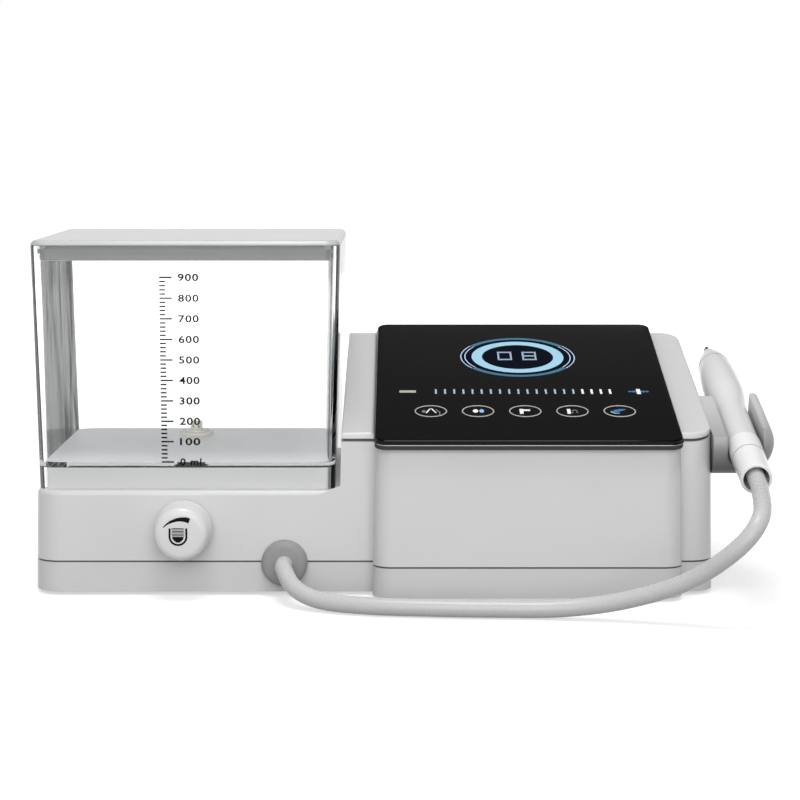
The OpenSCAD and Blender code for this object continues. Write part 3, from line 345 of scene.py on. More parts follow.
def metal(name, base, roughness):
    """A turned or drawn metal: fine marks that change its roughness and catch the light."""
    made, tree, shader, place_on = new_material(name)
    stains = add_node(tree, "ShaderNodeTexNoise",
                      {"Vector": place_on, "Scale": per_metre(8), "Detail": 3.0})
    tone = add_node(tree, "ShaderNodeMix",
                    {"Factor": stains.outputs["Fac"], "A": colour(base, 0.9), "B": colour(base)},
                    data_type="RGBA")
    marks = add_node(tree, "ShaderNodeTexNoise",
                     {"Vector": place_on, "Scale": per_metre(MARK_MM), "Detail": 2.0})
    rough = add_node(tree, "ShaderNodeMapRange",
                     {"Value": marks.outputs["Fac"],
                      "To Min": roughness - 0.06, "To Max": roughness + 0.08})
    bump = add_node(tree, "ShaderNodeBump",
                    {"Height": marks.outputs["Fac"], "Strength": 0.5, "Distance": MARK_DEPTH * MM})
    set_inputs(shader, {"Metallic": 1.0, "Base Color": tone.outputs["Result"],
                        "Roughness": rough.outputs["Result"], "Normal": bump.outputs["Normal"]})
    return made


steel = metal("stainless_steel_turned", "#A9A9A8", 0.3)
tip_steel = metal("tip_steel_blackened", "#2A2A2C", 0.32)
bead_aluminium = metal("aluminium_polished_bead", "#A9AAAB", 0.2)
aluminium = metal("aluminium_extruded", "#B9BBBD", 0.38)
brass = metal("brass_turned", "#B5924C", 0.28)
titanium = metal("titanium_turned", "#8E8880", 0.34)
print("metals:", *[m.name for m in (steel, tip_steel, bead_aluminium, aluminium, brass, titanium)])

# %% [markdown]
# ## Clear acrylic, seen along its face
#
# The tank is injection-moulded acrylic with walls 2.4 mm thick, so it is real glass-like solid here.
# Seen square on, such a wall all but disappears. Seen along its face a real wall turns grey and
# streaky, as it mirrors and bends the darker room. Here that grey and its streaks are painted
# reflection: a dark colour laid on the wall by how flat the view is. Layer Weight tells how flat the
# view is. The level faces are left out of it, and long streaks, stretched upwards, vary it.

# %% Acrylic: how flat the view is
GREY_FROM, GREY_FULL = 0.71, 0.83       # Layer Weight's facing value: 0 is square on, 1 along the face
clear_acrylic, tree, shader, place_on = new_material("clear_acrylic_moulded")
slant = add_node(tree, "ShaderNodeLayerWeight", {"Blend": 0.5})
flat_on = add_node(tree, "ShaderNodeMapRange", {"Value": slant.outputs["Facing"], "From Min": GREY_FROM,
                                                "From Max": GREY_FULL})
way = add_node(tree, "ShaderNodeSeparateXYZ",
               {"Vector": add_node(tree, "ShaderNodeNewGeometry").outputs["Normal"]})
level = add_node(tree, "ShaderNodeMath", {0: way.outputs["Z"]}, operation="ABSOLUTE")
upright = add_node(tree, "ShaderNodeMath", {0: flat_on.outputs["Result"], 1: level.outputs[0]},
                   operation="SUBTRACT")
stretch = add_node(tree, "ShaderNodeMapping", {"Vector": place_on, "Scale": (1.0, 1.0, 0.22)})
streaks = add_node(tree, "ShaderNodeTexNoise", {"Vector": stretch.outputs["Vector"], "Detail": 2.0,
                                                "Scale": per_metre(12), "Distortion": 0.8})
band = add_node(tree, "ShaderNodeMapRange", {"Value": streaks.outputs["Fac"], "From Min": 0.35,
                                             "From Max": 0.65, "To Min": 0.85, "To Max": 1.0})
edge_on = add_node(tree, "ShaderNodeMath", {0: upright.outputs[0], 1: band.outputs["Result"]},
                   operation="MULTIPLY", use_clamp=True)
print("acrylic: grey from", GREY_FROM, "to", GREY_FULL)

# %% [markdown]
# ## The acrylic's colour and surface
#
# Where the wall is seen along its face, its colour goes from nearly white to a dark grey, it lets less
# light through, and it bends it less. Acrylic's index of refraction is 1.49. Wiping leaves a faint
# haze, and the mould a slow ripple of a few hundredths of a millimetre.

# %% Acrylic: colour with painted reflection, and surface
pale = add_node(tree, "ShaderNodeMix", {"Factor": level.outputs[0], "A": colour("#FCFDFD"),
                                        "B": colour("#F6F7F8")}, data_type="RGBA")
# Painted reflection: the colour turns dark grey where the wall is seen along its face.
acrylic_tint_painted_reflection = add_node(tree, "ShaderNodeMix", {"Factor": edge_on.outputs[0], "A": pale.outputs["Result"],
                                        "B": colour("#2E3133")}, data_type="RGBA")
clear = add_node(tree, "ShaderNodeMapRange",
                 {"Value": edge_on.outputs[0], "To Min": 1.0, "To Max": 0.06})
bend = add_node(tree, "ShaderNodeMapRange",
                {"Value": edge_on.outputs[0], "To Min": 1.49, "To Max": 1.0})
wipe = add_node(tree, "ShaderNodeTexNoise",
                {"Vector": place_on, "Scale": per_metre(25), "Detail": 3.0})
haze = add_node(tree, "ShaderNodeMapRange",
                {"Value": wipe.outputs["Fac"], "To Min": 0.0, "To Max": 0.025})
ripple = add_node(tree, "ShaderNodeTexNoise",
                  {"Vector": place_on, "Scale": per_metre(16), "Detail": 1.0})
bump = add_node(tree, "ShaderNodeBump", {"Height": ripple.outputs["Fac"], "Strength": 0.2,
                                         "Distance": 0.04 * MM})
set_inputs(shader, {"Base Color": acrylic_tint_painted_reflection.outputs["Result"], "Transmission Weight": clear.outputs["Result"],
                    "IOR": bend.outputs["Result"], "Roughness": haze.outputs["Result"],
                    "Normal": bump.outputs["Normal"]})
print("acrylic nodes so far:", len(tree.nodes))

# %% [markdown]
# ## Light through the acrylic
#
# Cycles lets no lamp shine through a glass shader, though acrylic passes nine tenths of the light. So
# the wall opens its alpha to shadow rays and to light bounced from matt surfaces, which is what lights
# the deck and the floor of the tank. Inside, the solid absorbs a little. Through the wall that doesn't
# show, but light that runs along the wall comes out grey at its edges, as it does on a real tank.

# %% Acrylic: light let through, and absorbed
ray = add_node(tree, "ShaderNodeLightPath")
soft_ray = add_node(tree, "ShaderNodeMath",
                    {0: ray.outputs["Is Shadow Ray"], 1: ray.outputs["Is Diffuse Ray"]},
                    operation="MAXIMUM")
open_to = add_node(tree, "ShaderNodeMapRange",
                   {"Value": soft_ray.outputs[0], "To Min": 1.0, "To Max": 0.04})
set_inputs(shader, {"Alpha": open_to.outputs["Result"]})
absorb = add_node(tree, "ShaderNodeVolumeAbsorption", {"Color": colour("#B9BDBF"), "Density": 14.0})
set_inputs(tree.nodes["Material Output"], {"Volume": absorb.outputs["Volume"]})
print("acrylic nodes:", len(tree.nodes))

# %% [markdown]
# ## Panel glass
#
# The panel is tempered glass, printed black from behind, with an anti-glare surface. Seen at a flat
# angle plain glass would mirror the white room; the anti-glare layer is what keeps it black, so its
# index is matched to a lower value than bare glass has. Faint smears vary the gloss. The lit signs
# are the same glass with light behind their print, so they share the recipe.

# %% Printed glass recipe
def printed_glass(name, base, strength=0.0, ior=1.2, smooth=0.12):
    """A glossy printed glass; a strength above 0 puts light behind the print."""
    made, tree, shader, place_on = new_material(name)
    smear = add_node(tree, "ShaderNodeTexNoise",
                     {"Vector": place_on, "Scale": per_metre(22), "Detail": 4.0})
    gloss = add_node(tree, "ShaderNodeMapRange",
                     {"Value": smear.outputs["Fac"], "To Min": smooth - 0.03, "To Max": smooth + 0.06})
    ink = add_node(tree, "ShaderNodeTexNoise",
                   {"Vector": place_on, "Scale": per_metre(3), "Detail": 2.0})
    tone = add_node(tree, "ShaderNodeMix",
                    {"Factor": ink.outputs["Fac"], "A": colour(base, 0.92), "B": colour(base)},
                    data_type="RGBA")
    set_inputs(shader, {"Base Color": tone.outputs["Result"], "Roughness": gloss.outputs["Result"],
                        "IOR": ior})
    if strength:
        set_inputs(shader, {"Emission Color": tone.outputs["Result"], "Emission Strength": strength})
    return made


black_glass = printed_glass("tempered_glass_black", "#171718", ior=1.125, smooth=0.07)
edge_glass = printed_glass("tempered_glass_edge", "#070708", ior=1.25, smooth=0.1)
print("glass:", black_glass.name, edge_glass.name)

# %% [markdown]
# ## The cord
#
# One silicone cord runs from the base's front to the handpiece's tail, all of it in sight. Its route
# is the CAD's own, told from the console's front left corner: straight out of the bushing, down to the
# table, along the front, then up and over into the handpiece.

# %% Route of the cord
CORD_R = 3.5
LEAD = 7                # how far it runs straight at each end
exit_point = Vector((-22.8, -5, 13.5))
exit_way = Vector((0, -1, 0))
tail_point = Vector((163.8, -26.45, 51.22))
bends = [(-18, -23, 8), (-8, -31, 4.5), (10, -38, 3.8), (34, -42, 3.8), (62, -44, 3.8), (88, -46, 4.5),
         (112, -51, 9), (134, -59, 18), (151, -67, 32), (160, -62, 43)]
stops = [exit_point, exit_point + LEAD * exit_way, *[Vector(p) for p in bends],
         tail_point - LEAD * Vector(UP_SLOPE), tail_point]


def smooth_route(points, steps):
    """A smooth curve through all the points but the first and the last, which only steer it."""
    route = []
    for a, b, c, d in zip(points, points[1:], points[2:], points[3:]):
        for step in range(steps):
            t = step / steps
            route.append(0.5 * (2 * b + (c - a) * t + (2 * a - 5 * b + 4 * c - d) * t ** 2
                                + (3 * b - a - 3 * c + d) * t ** 3))
    return route + [points[-2]]


console_corner = Vector((BASE_LEFT, BASE_FRONT, 0))
cord_route = [(p + console_corner) * MM for p in [stops[0], *smooth_route(stops, 6), stops[-1]]]

# %% [markdown]
# ## The cord's jacket
#
# A curve with a round bevel would do, but a mesh is made instead: a ring of points is pulled along the
# route with extrude, one step at a time, and turned to follow each bend.

# %% Cord's jacket
JACKET_IN = 0.05        # how far its skin stays inside the CAD's cord
JACKET_SIDES = 28


def pull_tube(route, radius):
    """A round tube along a route: one ring of points, extruded and turned from point to point."""
    bm = bmesh.new()
    bmesh.ops.create_circle(bm, segments=JACKET_SIDES, radius=radius, cap_ends=True)
    way = (route[1] - route[0]).normalized()
    turn = Vector((0, 0, 1)).rotation_difference(way)
    bmesh.ops.rotate(bm, verts=bm.verts, cent=(0, 0, 0), matrix=turn.to_matrix())
    bmesh.ops.translate(bm, verts=bm.verts, vec=route[0])
    ring = list(bm.edges)
    for k, here in enumerate(route[1:], 1):
        there = route[min(k + 1, len(route) - 1)]
        new_way = (there - route[k - 1]).normalized()
        grown = bmesh.ops.extrude_edge_only(bm, edges=ring)["geom"]
        points = [g for g in grown if isinstance(g, bmesh.types.BMVert)]
        ring = [g for g in grown if isinstance(g, bmesh.types.BMEdge)]
        bend = way.rotation_difference(new_way)
        bmesh.ops.rotate(bm, verts=points, cent=route[k - 1], matrix=bend.to_matrix())
        bmesh.ops.translate(bm, verts=points, vec=here - route[k - 1])
        way = new_way
    bmesh.ops.contextual_create(bm, geom=ring)
    return bm


cord = to_object(pull_tube(cord_route, (CORD_R - JACKET_IN) * MM), "handpiece_cord_jacket",
                 cord_silicone)
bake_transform(cord)
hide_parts("handpiece_cord")
print("jacket:", len(cord.data.polygons), "faces")

# %% [markdown]
# ## Soft edges
#
# No moulded edge is sharp: each one catches a line of light. The CAD keeps its edges crisp, so the big
# mouldings are copied here, their loose triangles joined, and the outer edges that show are rounded
# with a bevel. Weighted normals keep the large faces flat right up to the round. A Bevel modifier
# would round the holes and grooves too; here each moulding says which of its edges it means.

# %% Rounded copies of the mouldings
BEVEL_STEPS = 4
SHARP = math.radians(28)
TRAY_FOOT_Z = 2.5       # the tray's edges below this height are its lower rim
HOLDER_ARMS_X = 126     # the holder's edges further right than this are in sight


def rounded_copy(node, body, finish, radius, chosen, clamp=True):
    """Copies a CAD node and rounds its outer edges: chosen tells by an edge's two ends, in mm."""
    bm = bmesh.new()
    bm.from_mesh(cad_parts[node].data)
    bmesh.ops.remove_doubles(bm, verts=bm.verts, dist=2e-6)
    bmesh.ops.dissolve_limit(bm, angle_limit=math.radians(0.4), verts=bm.verts, edges=bm.edges)
    edges = [e for e in bm.edges if e.is_manifold and e.is_convex and e.calc_face_angle(0) > SHARP
             and chosen(e.verts[0].co / MM, e.verts[1].co / MM)]
    bmesh.ops.bevel(bm, geom=edges, offset=radius * MM, offset_type="OFFSET", segments=BEVEL_STEPS,
                    profile=0.5, affect="EDGES", clamp_overlap=clamp, loop_slide=True, material=-1)
    made = to_object(bm, node + "_shell", finish, closed=False)
    flat = made.modifiers.new("flat_faces", "WEIGHTED_NORMAL")
    flat.mode = "FACE_AREA"
    flat.keep_sharp = True
    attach(made, body)
    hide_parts(node)
    print(made.name, "rounded edges:", len(edges), "faces:", len(made.data.polygons))
    return made


housing = rounded_copy("main_housing", "base", white_abs, 2.0,
                       lambda a, b: max(abs(a.z - DECK_TOP), abs(b.z - DECK_TOP)) < 0.15)
rounded_copy("bottom_tray", "base", tray_abs, 2.2,
             lambda a, b: max(a.z, b.z) < TRAY_FOOT_Z)
cover = rounded_copy("top_cover", "base", white_abs, 1.3,
                     lambda a, b: min(above_slope(a), above_slope(b)) > -0.4, clamp=False)
lid = rounded_copy("tank_lid", "lid", lid_abs, 0.5, lambda a, b: True)
rounded_copy("holder_cradle", "base", holder_abs, 1.3,
             lambda a, b: min(a.x, b.x) > HOLDER_ARMS_X, clamp=False)

# %% [markdown]
# ## Seams and the lid's plug
#
# Where two mouldings meet, the CAD has a groove half a millimetre deep. Such a groove gets almost no
# light, and that shade is painted on its floor as a dark grey. The plug under the lid's rim lies in
# shade too, and is painted a darker grey for it.

# %% Painted shade on some faces
LID_RIM_Z = 140.4
TRAY_GROOVE_LOW, TRAY_GROOVE_HIGH = 13.5, 14.2
COVER_GROOVE = -2.4     # above the slope


def paint_shade_on_faces(made, finish, chosen):
    """Paints shade, as a dark finish, on the upright faces of a shell whose centre, in millimetres, is
    chosen.
    """
    made.data.materials.append(finish)
    picked = [f for f in made.data.polygons if abs(f.normal.z) < 0.5 and chosen(f.center / MM)]
    for face in picked:
        face.material_index = 1
    print(made.name, "faces with", finish.name + ":", len(picked))


# Painted shade on the plug under the lid's rim, and on the floors of the two grooves.
paint_shade_on_faces(lid, lid_plug_painted_shade, lambda p: p.z < LID_RIM_Z)
paint_shade_on_faces(housing, groove_painted_shade, lambda p: TRAY_GROOVE_LOW < p.z < TRAY_GROOVE_HIGH)
paint_shade_on_faces(cover, groove_painted_shade, lambda p: above_slope(p) < COVER_GROOVE)

# %% [markdown]
# ## The touch panel
#
# The glass is one sheet with ground edges. A block is scaled to the sheet's size, its corners are
# rounded, and the rim of its top is bevelled. The top keeps the glossy black, and all other faces get
# the darker finish of the ground edge.

# %% Panel glass
GLASS_W, GLASS_L, GLASS_THICK, GLASS_CORNER = 122.8, 143.0, 2.0, 5


def rounded_slab(width, length, top, bottom, corner, rim):
    """A slab with its front edge at y 0, rounded corners, and a bevelled rim on its top."""
    bm = bmesh.new()
    bmesh.ops.create_cube(bm, size=1)
    bmesh.ops.scale(bm, vec=(width, length, top - bottom), verts=bm.verts)
    bmesh.ops.translate(bm, vec=(0, length / 2, (top + bottom) / 2), verts=bm.verts)
    corners = [e for e in bm.edges if abs(e.verts[0].co.z - e.verts[1].co.z) > 0.1]
    bmesh.ops.bevel(bm, geom=corners, offset=corner, offset_type="OFFSET", segments=10, profile=0.5,
                    affect="EDGES", material=-1)
    edges = [e for e in bm.edges if min(e.verts[0].co.z, e.verts[1].co.z) > top - 0.01]
    bmesh.ops.bevel(bm, geom=edges, offset=rim, offset_type="OFFSET", segments=3, profile=0.5,
                    affect="EDGES", material=-1)
    return bm


bm = rounded_slab(GLASS_W, GLASS_L, 0, -GLASS_THICK, GLASS_CORNER, 0.8)
top = max(bm.faces, key=lambda f: f.calc_area() if f.normal.z > 0.9 else 0)
for face in bm.faces:
    face.material_index = 0 if face is top else 1
glass = to_object(bm, "touch_panel_glass", black_glass, panel_face)
glass.data.materials.append(edge_glass)
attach(glass, "base")
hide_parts("touch_glass")
print("glass", GLASS_W, "by", GLASS_L, "mm, its top", GLASS_TOP, "mm above the slope")

# %% [markdown]
# ## The bead round the glass
#
# The same block again, a little larger and very thin, makes the polished aluminium bead that the sheet
# sits on. Only its rim stands out past the glass, which is the bright line round the panel.

# %% Bead
BEAD_OUT = 0.3          # how far it stands out past the sheet
BEAD_TOP, BEAD_BOTTOM = -1.8, -2.1      # below the top of the glass
bm = rounded_slab(GLASS_W + 2 * BEAD_OUT, GLASS_L + 2 * BEAD_OUT, BEAD_TOP, BEAD_BOTTOM,
                  GLASS_CORNER + BEAD_OUT, 0.1)
bmesh.ops.translate(bm, vec=(0, -BEAD_OUT, 0), verts=bm.verts)
bead = to_object(bm, "panel_bead", bead_aluminium, panel_face)
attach(bead, "base")
print("bead:", len(bead.data.polygons), "faces")

# %% [markdown]
# ## Frosted acrylic
#
# The inside of the tank's floor is left matt by a sand-blasted mould, and shows as a pale dish at the
# bottom of the empty tank. A rough clear shader would need many samples to look calm, so this one is
# nearly opaque instead, with a slow change of tone.

# %% Frosted acrylic
frosted, tree, shader, place_on = new_material("acrylic_frosted")
cloud = add_node(tree, "ShaderNodeTexNoise",
                 {"Vector": place_on, "Scale": per_metre(30), "Detail": 2.0})
tone = add_node(tree, "ShaderNodeMix", {"Factor": cloud.outputs["Fac"], "A": colour("#E9EBEC"),
                                        "B": colour("#F6F8F9")}, data_type="RGBA")
rough = add_node(tree, "ShaderNodeMapRange",
                 {"Value": cloud.outputs["Fac"], "To Min": 0.3, "To Max": 0.5})
set_inputs(shader, {"Base Color": tone.outputs["Result"], "Roughness": rough.outputs["Result"],
                    "Alpha": 0.85})
print("frosted nodes:", len(tree.nodes))

# %% [markdown]
# ## The tank's floor
#
# Inside the tank, the floor turns up into the walls with a soft cove and round corners. A rounded slab
# is made, and only the face under it is kept. It is inset four times, each time a little lower, and
# solidify gives the sheet its thickness.

# %% Floor of the tank
PAD_W, PAD_L, PAD_CORNER, PAD_THICK = 117.5, 104.0, 9, 0.15
PAD_X, PAD_FRONT, PAD_TOP = -88.3, -46.2, 57.2
COVE = ((0.7, 1.4), (1.3, 0.9), (2.6, 0.5), (4.0, 0.15))        # steps inwards, and down
pad_face = place((PAD_X, PAD_FRONT, 0), (1, 0, 0), (0, 1, 0))
bm = rounded_slab(PAD_W, PAD_L, PAD_TOP, PAD_TOP - 0.2, PAD_CORNER, 0.05)
lower = [f for f in bm.faces if f.normal.z < -0.9]
bmesh.ops.delete(bm, geom=[f for f in bm.faces if f not in lower], context="FACES")
middle = list(bm.faces)
for inwards, down in COVE:
    bmesh.ops.inset_region(bm, faces=middle, thickness=inwards, depth=0, use_even_offset=True)
    bmesh.ops.translate(bm, vec=(0, 0, -down), verts=list({v for f in middle for v in f.verts}))
bmesh.ops.solidify(bm, geom=list(bm.faces), thickness=PAD_THICK)
pad = to_object(bm, "tank_floor_pad", frosted, pad_face)
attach(pad, "tank")
print("tank floor: lowest", round(min(v.co.z for v in pad.data.vertices) / MM, 2), "mm")

# %% [markdown]
# ## Drawing flat prints
#
# Prints and lit signs are flat shapes with clean edges. An image would blur close up, so they are
# drawn as meshes, with a pen: it pulls one short edge along a line of points with extrude, and leaves
# a band that keeps its width or tapers. A bar and a filled block are short strokes of the same pen.

# %% Pens
def pen(bm, points, width=1.0, widths=None):
    """A band along points; widths, one per point, makes a tapered stroke."""
    spine = [Vector((*p, 0)) for p in points]
    ends = []
    edge = None
    for k, here in enumerate(spine):
        way = spine[min(k + 1, len(spine) - 1)] - spine[max(k - 1, 0)]
        side = Vector((-way.y, way.x, 0)).normalized() * (widths[k] if widths else width) / 2
        if edge is None:
            ends = [bm.verts.new(here + side), bm.verts.new(here - side)]
            edge = bm.edges.new(ends)
            continue
        grown = bmesh.ops.extrude_edge_only(bm, edges=[edge])["geom"]
        ends = sorted((g for g in grown if isinstance(g, bmesh.types.BMVert)),
                      key=lambda v: (v.co - ends[0].co).length)
        edge = next(g for g in grown if isinstance(g, bmesh.types.BMEdge))
        ends[0].co = here + side
        ends[1].co = here - side


def bar(bm, x, y, width, height):
    """An upright bar centred at x, y."""
    pen(bm, [(x, y - height / 2), (x, y + height / 2)], width)


def block(bm, left, right, low, high):
    """A filled rectangle between four limits."""
    bar(bm, (left + right) / 2, (low + high) / 2, right - left, high - low)


trial = bmesh.new()
bar(trial, 0, 0, 1, 5)
print("a bar is", len(trial.faces), "face with", len(trial.verts), "corners")
trial.free()

# %% [markdown]
# ## Round shapes
#
# A stroke can follow an arc, whose points come from a few angles. A full ring is better made without
# a pen, because it has no ends: a circle is extruded and the new points are moved outwards. A disc is
# a filled circle, and can be flattened to an oval.

# %% Arc, ring and disc
def arc(x, y, radius, start, stop, steps=24, squash=1.0):
    """Points on an arc from start to stop, in degrees."""
    angles = [math.radians(start + (stop - start) * k / steps) for k in range(steps + 1)]
    return [(x + radius * math.cos(a), y + radius * squash * math.sin(a)) for a in angles]


def ring(bm, x, y, r_out, r_in, sides, squash=1.0):
    """A flat ring: the inner circle, extruded outwards; squash flattens only the inner one."""
    circle = bmesh.ops.create_circle(bm, segments=sides, radius=r_in)["verts"]
    edges = [e for e in bm.edges if e.verts[0] in circle and e.verts[1] in circle]
    grown = bmesh.ops.extrude_edge_only(bm, edges=edges)["geom"]
    outer = [g for g in grown if isinstance(g, bmesh.types.BMVert)]
    bmesh.ops.scale(bm, vec=(r_out / r_in, r_out / r_in, 1), verts=outer)
    bmesh.ops.scale(bm, vec=(1, squash, 1), verts=circle)
    bmesh.ops.translate(bm, vec=(x, y, 0), verts=list(circle) + outer)


def disc(bm, x, y, radius, sides, squash=1.0):
    """A flat disc, or an oval one."""
    made = bmesh.ops.create_circle(bm, segments=sides, radius=radius, cap_ends=True)["verts"]
    bmesh.ops.scale(bm, vec=(1, squash, 1), verts=made)
    bmesh.ops.translate(bm, vec=(x, y, 0), verts=made)


print("an arc has", len(arc(0, 0, 1, 0, 180)), "points")

# %% [markdown]
# ## Ink and lit signs
#
# Ink stands a few hundredths of a millimetre above what it is printed on. So each drawing is turned
# face up, extruded by that much, and laid on its surface. A lit sign is a print on the panel, whose
# finish gives some light of its own.

# %% From a drawing to a print
def to_print(bm, name, finish, matrix, body, thick=0.04):
    """Raises a flat drawing into ink of a small thickness and puts it on the object."""
    bmesh.ops.recalc_face_normals(bm, faces=bm.faces)
    for face in bm.faces:
        if face.normal.z < 0:
            face.normal_flip()
    grown = bmesh.ops.extrude_face_region(bm, geom=list(bm.faces))["geom"]
    raised = [g for g in grown if isinstance(g, bmesh.types.BMVert)]
    bmesh.ops.translate(bm, vec=(0, 0, thick), verts=raised)
    made = to_object(bm, name, finish, matrix)
    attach(made, body)
    return made


def lit_sign(name, finish, draw, thick=0.05):
    """A lit sign on the panel: draw fills a new bmesh in panel millimetres."""
    bm = bmesh.new()
    draw(bm)
    return to_print(bm, name, finish, panel_face, "base", thick)


print("lit signs lie on the panel, which slopes by", round(math.degrees(SLOPE), 1), "degrees")

# %% [markdown]
# ## The dial
#
# Behind the black print sits a display. Its dial is dark blue, with two digits of seven bars in the
# middle, a broad bright ring, and an outer band that is steel blue above and below and fades at both
# sides to two thin lines. It is lit from below, so each part takes some emission.

# %% Dial
night_blue = printed_glass("dial_night_blue", "#060D1A", 0.1, ior=1.1)
ring_cyan = printed_glass("ring_cyan_lit", "#9CC8DC", 0.15)
ring_steel = printed_glass("ring_steel_blue_lit", "#456E89", 0.2)
line_pale = printed_glass("line_pale_blue_lit", "#B4CBE8", 0.2)
digit_white = printed_glass("digit_white_lit", "#98A8BF", 0.15)
DIAL_Y = 98.3
DIAL_R = 24.9


def digit(bm, x, y, bars):
    """A digit of seven bars, 6.2 by 10.7 mm: two uprights and the level bars that are asked for."""
    for side in (-2.7, 2.7):
        bar(bm, x + side, y, 0.8, 10.7)
    for level in bars:
        block(bm, x - 2.2, x + 2.2, y + level - 0.72, y + level + 0.72)


def outer_band(bm):
    """The steel-blue band, above and below."""
    for start in (35, 215):
        pen(bm, arc(0, DIAL_Y, 23.8, start, start + 110, 48), 2.2)


def side_lines(bm):
    """The two thin lines on each side."""
    for start in (-35, 145):
        for radius in (24.68, 22.9):
            pen(bm, arc(0, DIAL_Y, radius, start, start + 70, 32), 0.45)


def both_digits(bm):
    """A nought and an eight: only the eight has its middle bar."""
    digit(bm, -5.6, DIAL_Y + 1.3, (-4.62, 4.62))
    digit(bm, 5.1, DIAL_Y + 1.3, (-4.62, 0, 4.62))


lit_sign("dial_face", night_blue, lambda bm: disc(bm, 0, DIAL_Y, DIAL_R, 128), 0.02)
lit_sign("dial_bright_ring", ring_cyan, lambda bm: ring(bm, 0, DIAL_Y, 20.0, 15.5, 128))
lit_sign("dial_outer_band", ring_steel, outer_band)
lit_sign("dial_side_lines", line_pale, side_lines)
lit_sign("dial_digits", digit_white, both_digits, 0.06)
print("dial: centre", DIAL_Y, "mm up the glass,", 2 * DIAL_R, "mm across")

# %% [markdown]
# ## The level marks
#
# Below the dial runs a row of twenty level marks, the last four brighter, between a minus and a plus.
# They show how strong the tip vibrates. Each mark is one short stroke of the pen.

# %% Level marks
mark_pale = printed_glass("mark_pale_lit", "#9DB6CA", 0.15)
sign_white = printed_glass("sign_white_lit", "#E4E8EA", 0.15)
sign_blue = printed_glass("sign_blue_lit", "#3F73A6", 0.2)
sign_grey = printed_glass("sign_grey_lit", "#B4AFA8", 0.1)
LEVEL_Y = 55.4
MARK_X = [-36.2 + 72.8 * k / 19 for k in range(20)]
MINUS_X, PLUS_X = -48, 48.5


def low_marks(bm):
    """The first sixteen level marks."""
    for x in MARK_X[:16]:
        bar(bm, x, LEVEL_Y, 0.8, 5.4)


def high_marks(bm):
    """The last four level marks, and the upright of the plus."""
    for x in MARK_X[16:]:
        bar(bm, x, LEVEL_Y, 0.95, 5.4)
    bar(bm, PLUS_X, LEVEL_Y, 1.7, 5.9)


def plus_arms(bm):
    """The arms of the plus, each of two drops of light."""
    for reach, radius in ((1.9, 0.95), (3.6, 0.75)):
        for side in (-1, 1):
            disc(bm, PLUS_X + side * reach, LEVEL_Y, radius, 24)


lit_sign("level_marks_low", mark_pale, low_marks)
lit_sign("level_marks_high", sign_white, high_marks)
lit_sign("minus_sign", sign_grey, lambda bm: bar(bm, MINUS_X, LEVEL_Y, 6.9, 2.6))
lit_sign("plus_sign_arms", sign_blue, plus_arms)
print("level marks:", len(MARK_X), "from", MARK_X[0], "to", round(MARK_X[-1], 1))

# %% [markdown]
# ## The keys
#
# Under the marks are five round touch keys. They don't move: a finger on the glass is enough. Each is
# a thin ring, whose hole is a little flatter than its outside.

# %% Keys
KEY_Y = 32.6
KEY_X = [(k - 2) * 19.3 for k in range(5)]


def key_circles(bm):
    """The five round frames."""
    for x in KEY_X:
        ring(bm, x, KEY_Y, 6.6, 6.15, 64, squash=0.935)


lit_sign("key_circles", sign_grey, key_circles)
print("keys at", [round(x, 1) for x in KEY_X])

# %% [markdown]
# ## The pictures on the keys
#
# Each key has a small picture of what it does, drawn with the same pens, each stroke at the place
# where it sits on its key. Strokes of one colour make one piece.

# %% Pictures on the keys
sign_light_blue = printed_glass("sign_light_blue_lit", "#8FB6DC", 0.2)
sign_dim = printed_glass("sign_dim_lit", "#7A7C80", 0.1)


def white_strokes(bm):
    """Peak line, left lobe, and the two upright blocks of the third and fourth key."""
    x = KEY_X[0]
    peak = [(x - 1.9, KEY_Y - 2), (x - 0.3, KEY_Y + 2.7),
            (x + 0.35, KEY_Y + 2.7), (x + 2.1, KEY_Y - 2)]
    pen(bm, peak, 0.6)
    disc(bm, KEY_X[1] - 1.05, KEY_Y + 0.15, 1.1, 32, squash=1.7)
    block(bm, KEY_X[2] - 2.3, KEY_X[2] - 0.75, KEY_Y - 3, KEY_Y + 2.4)
    block(bm, KEY_X[2] - 0.7, KEY_X[2] + 2.0, KEY_Y + 0.1, KEY_Y + 1.9)
    block(bm, KEY_X[3] - 2.2, KEY_X[3] - 0.75, KEY_Y - 3, KEY_Y + 2.4)


def grey_strokes(bm):
    """The blob and the thin stroke beside the peaks, and the small arch of the fourth key."""
    x = KEY_X[0]
    disc(bm, x - 2.9, KEY_Y - 0.3, 0.8, 24, squash=1.8)
    pen(bm, [(x + 2, KEY_Y + 1.9), (x + 3.6, KEY_Y - 1.1), (x + 3.6, KEY_Y - 4.1)], 0.5)
    pen(bm, arc(KEY_X[3] + 0.9, KEY_Y - 0.2, 0.95, 0, 180, 12, squash=1.6), 0.6)
    for side in (-0.05, 1.85):
        disc(bm, KEY_X[3] + side, KEY_Y - 1.6, 0.45, 16)


def blue_strokes(bm):
    """The swoosh of the fifth key."""
    x = KEY_X[4]
    sweep = [(x - 2.6, KEY_Y - 1.6), (x - 1.4, KEY_Y + 0.2),
             (x + 0.4, KEY_Y + 1.3), (x + 2.6, KEY_Y + 1.9)]
    pen(bm, sweep, widths=[1.4, 2.6, 2.2, 0.7])


def light_blue_strokes(bm):
    """The right lobe of the second key and the hook of the fifth."""
    disc(bm, KEY_X[1] + 1.5, KEY_Y + 0.2, 0.95, 32, squash=2.1)
    x = KEY_X[4]
    hook = [(x - 3.5, KEY_Y - 0.2), (x - 3.1, KEY_Y - 1.7),
            (x - 1.9, KEY_Y - 2.5), (x - 0.2, KEY_Y - 2.3)]
    pen(bm, hook, 0.6)


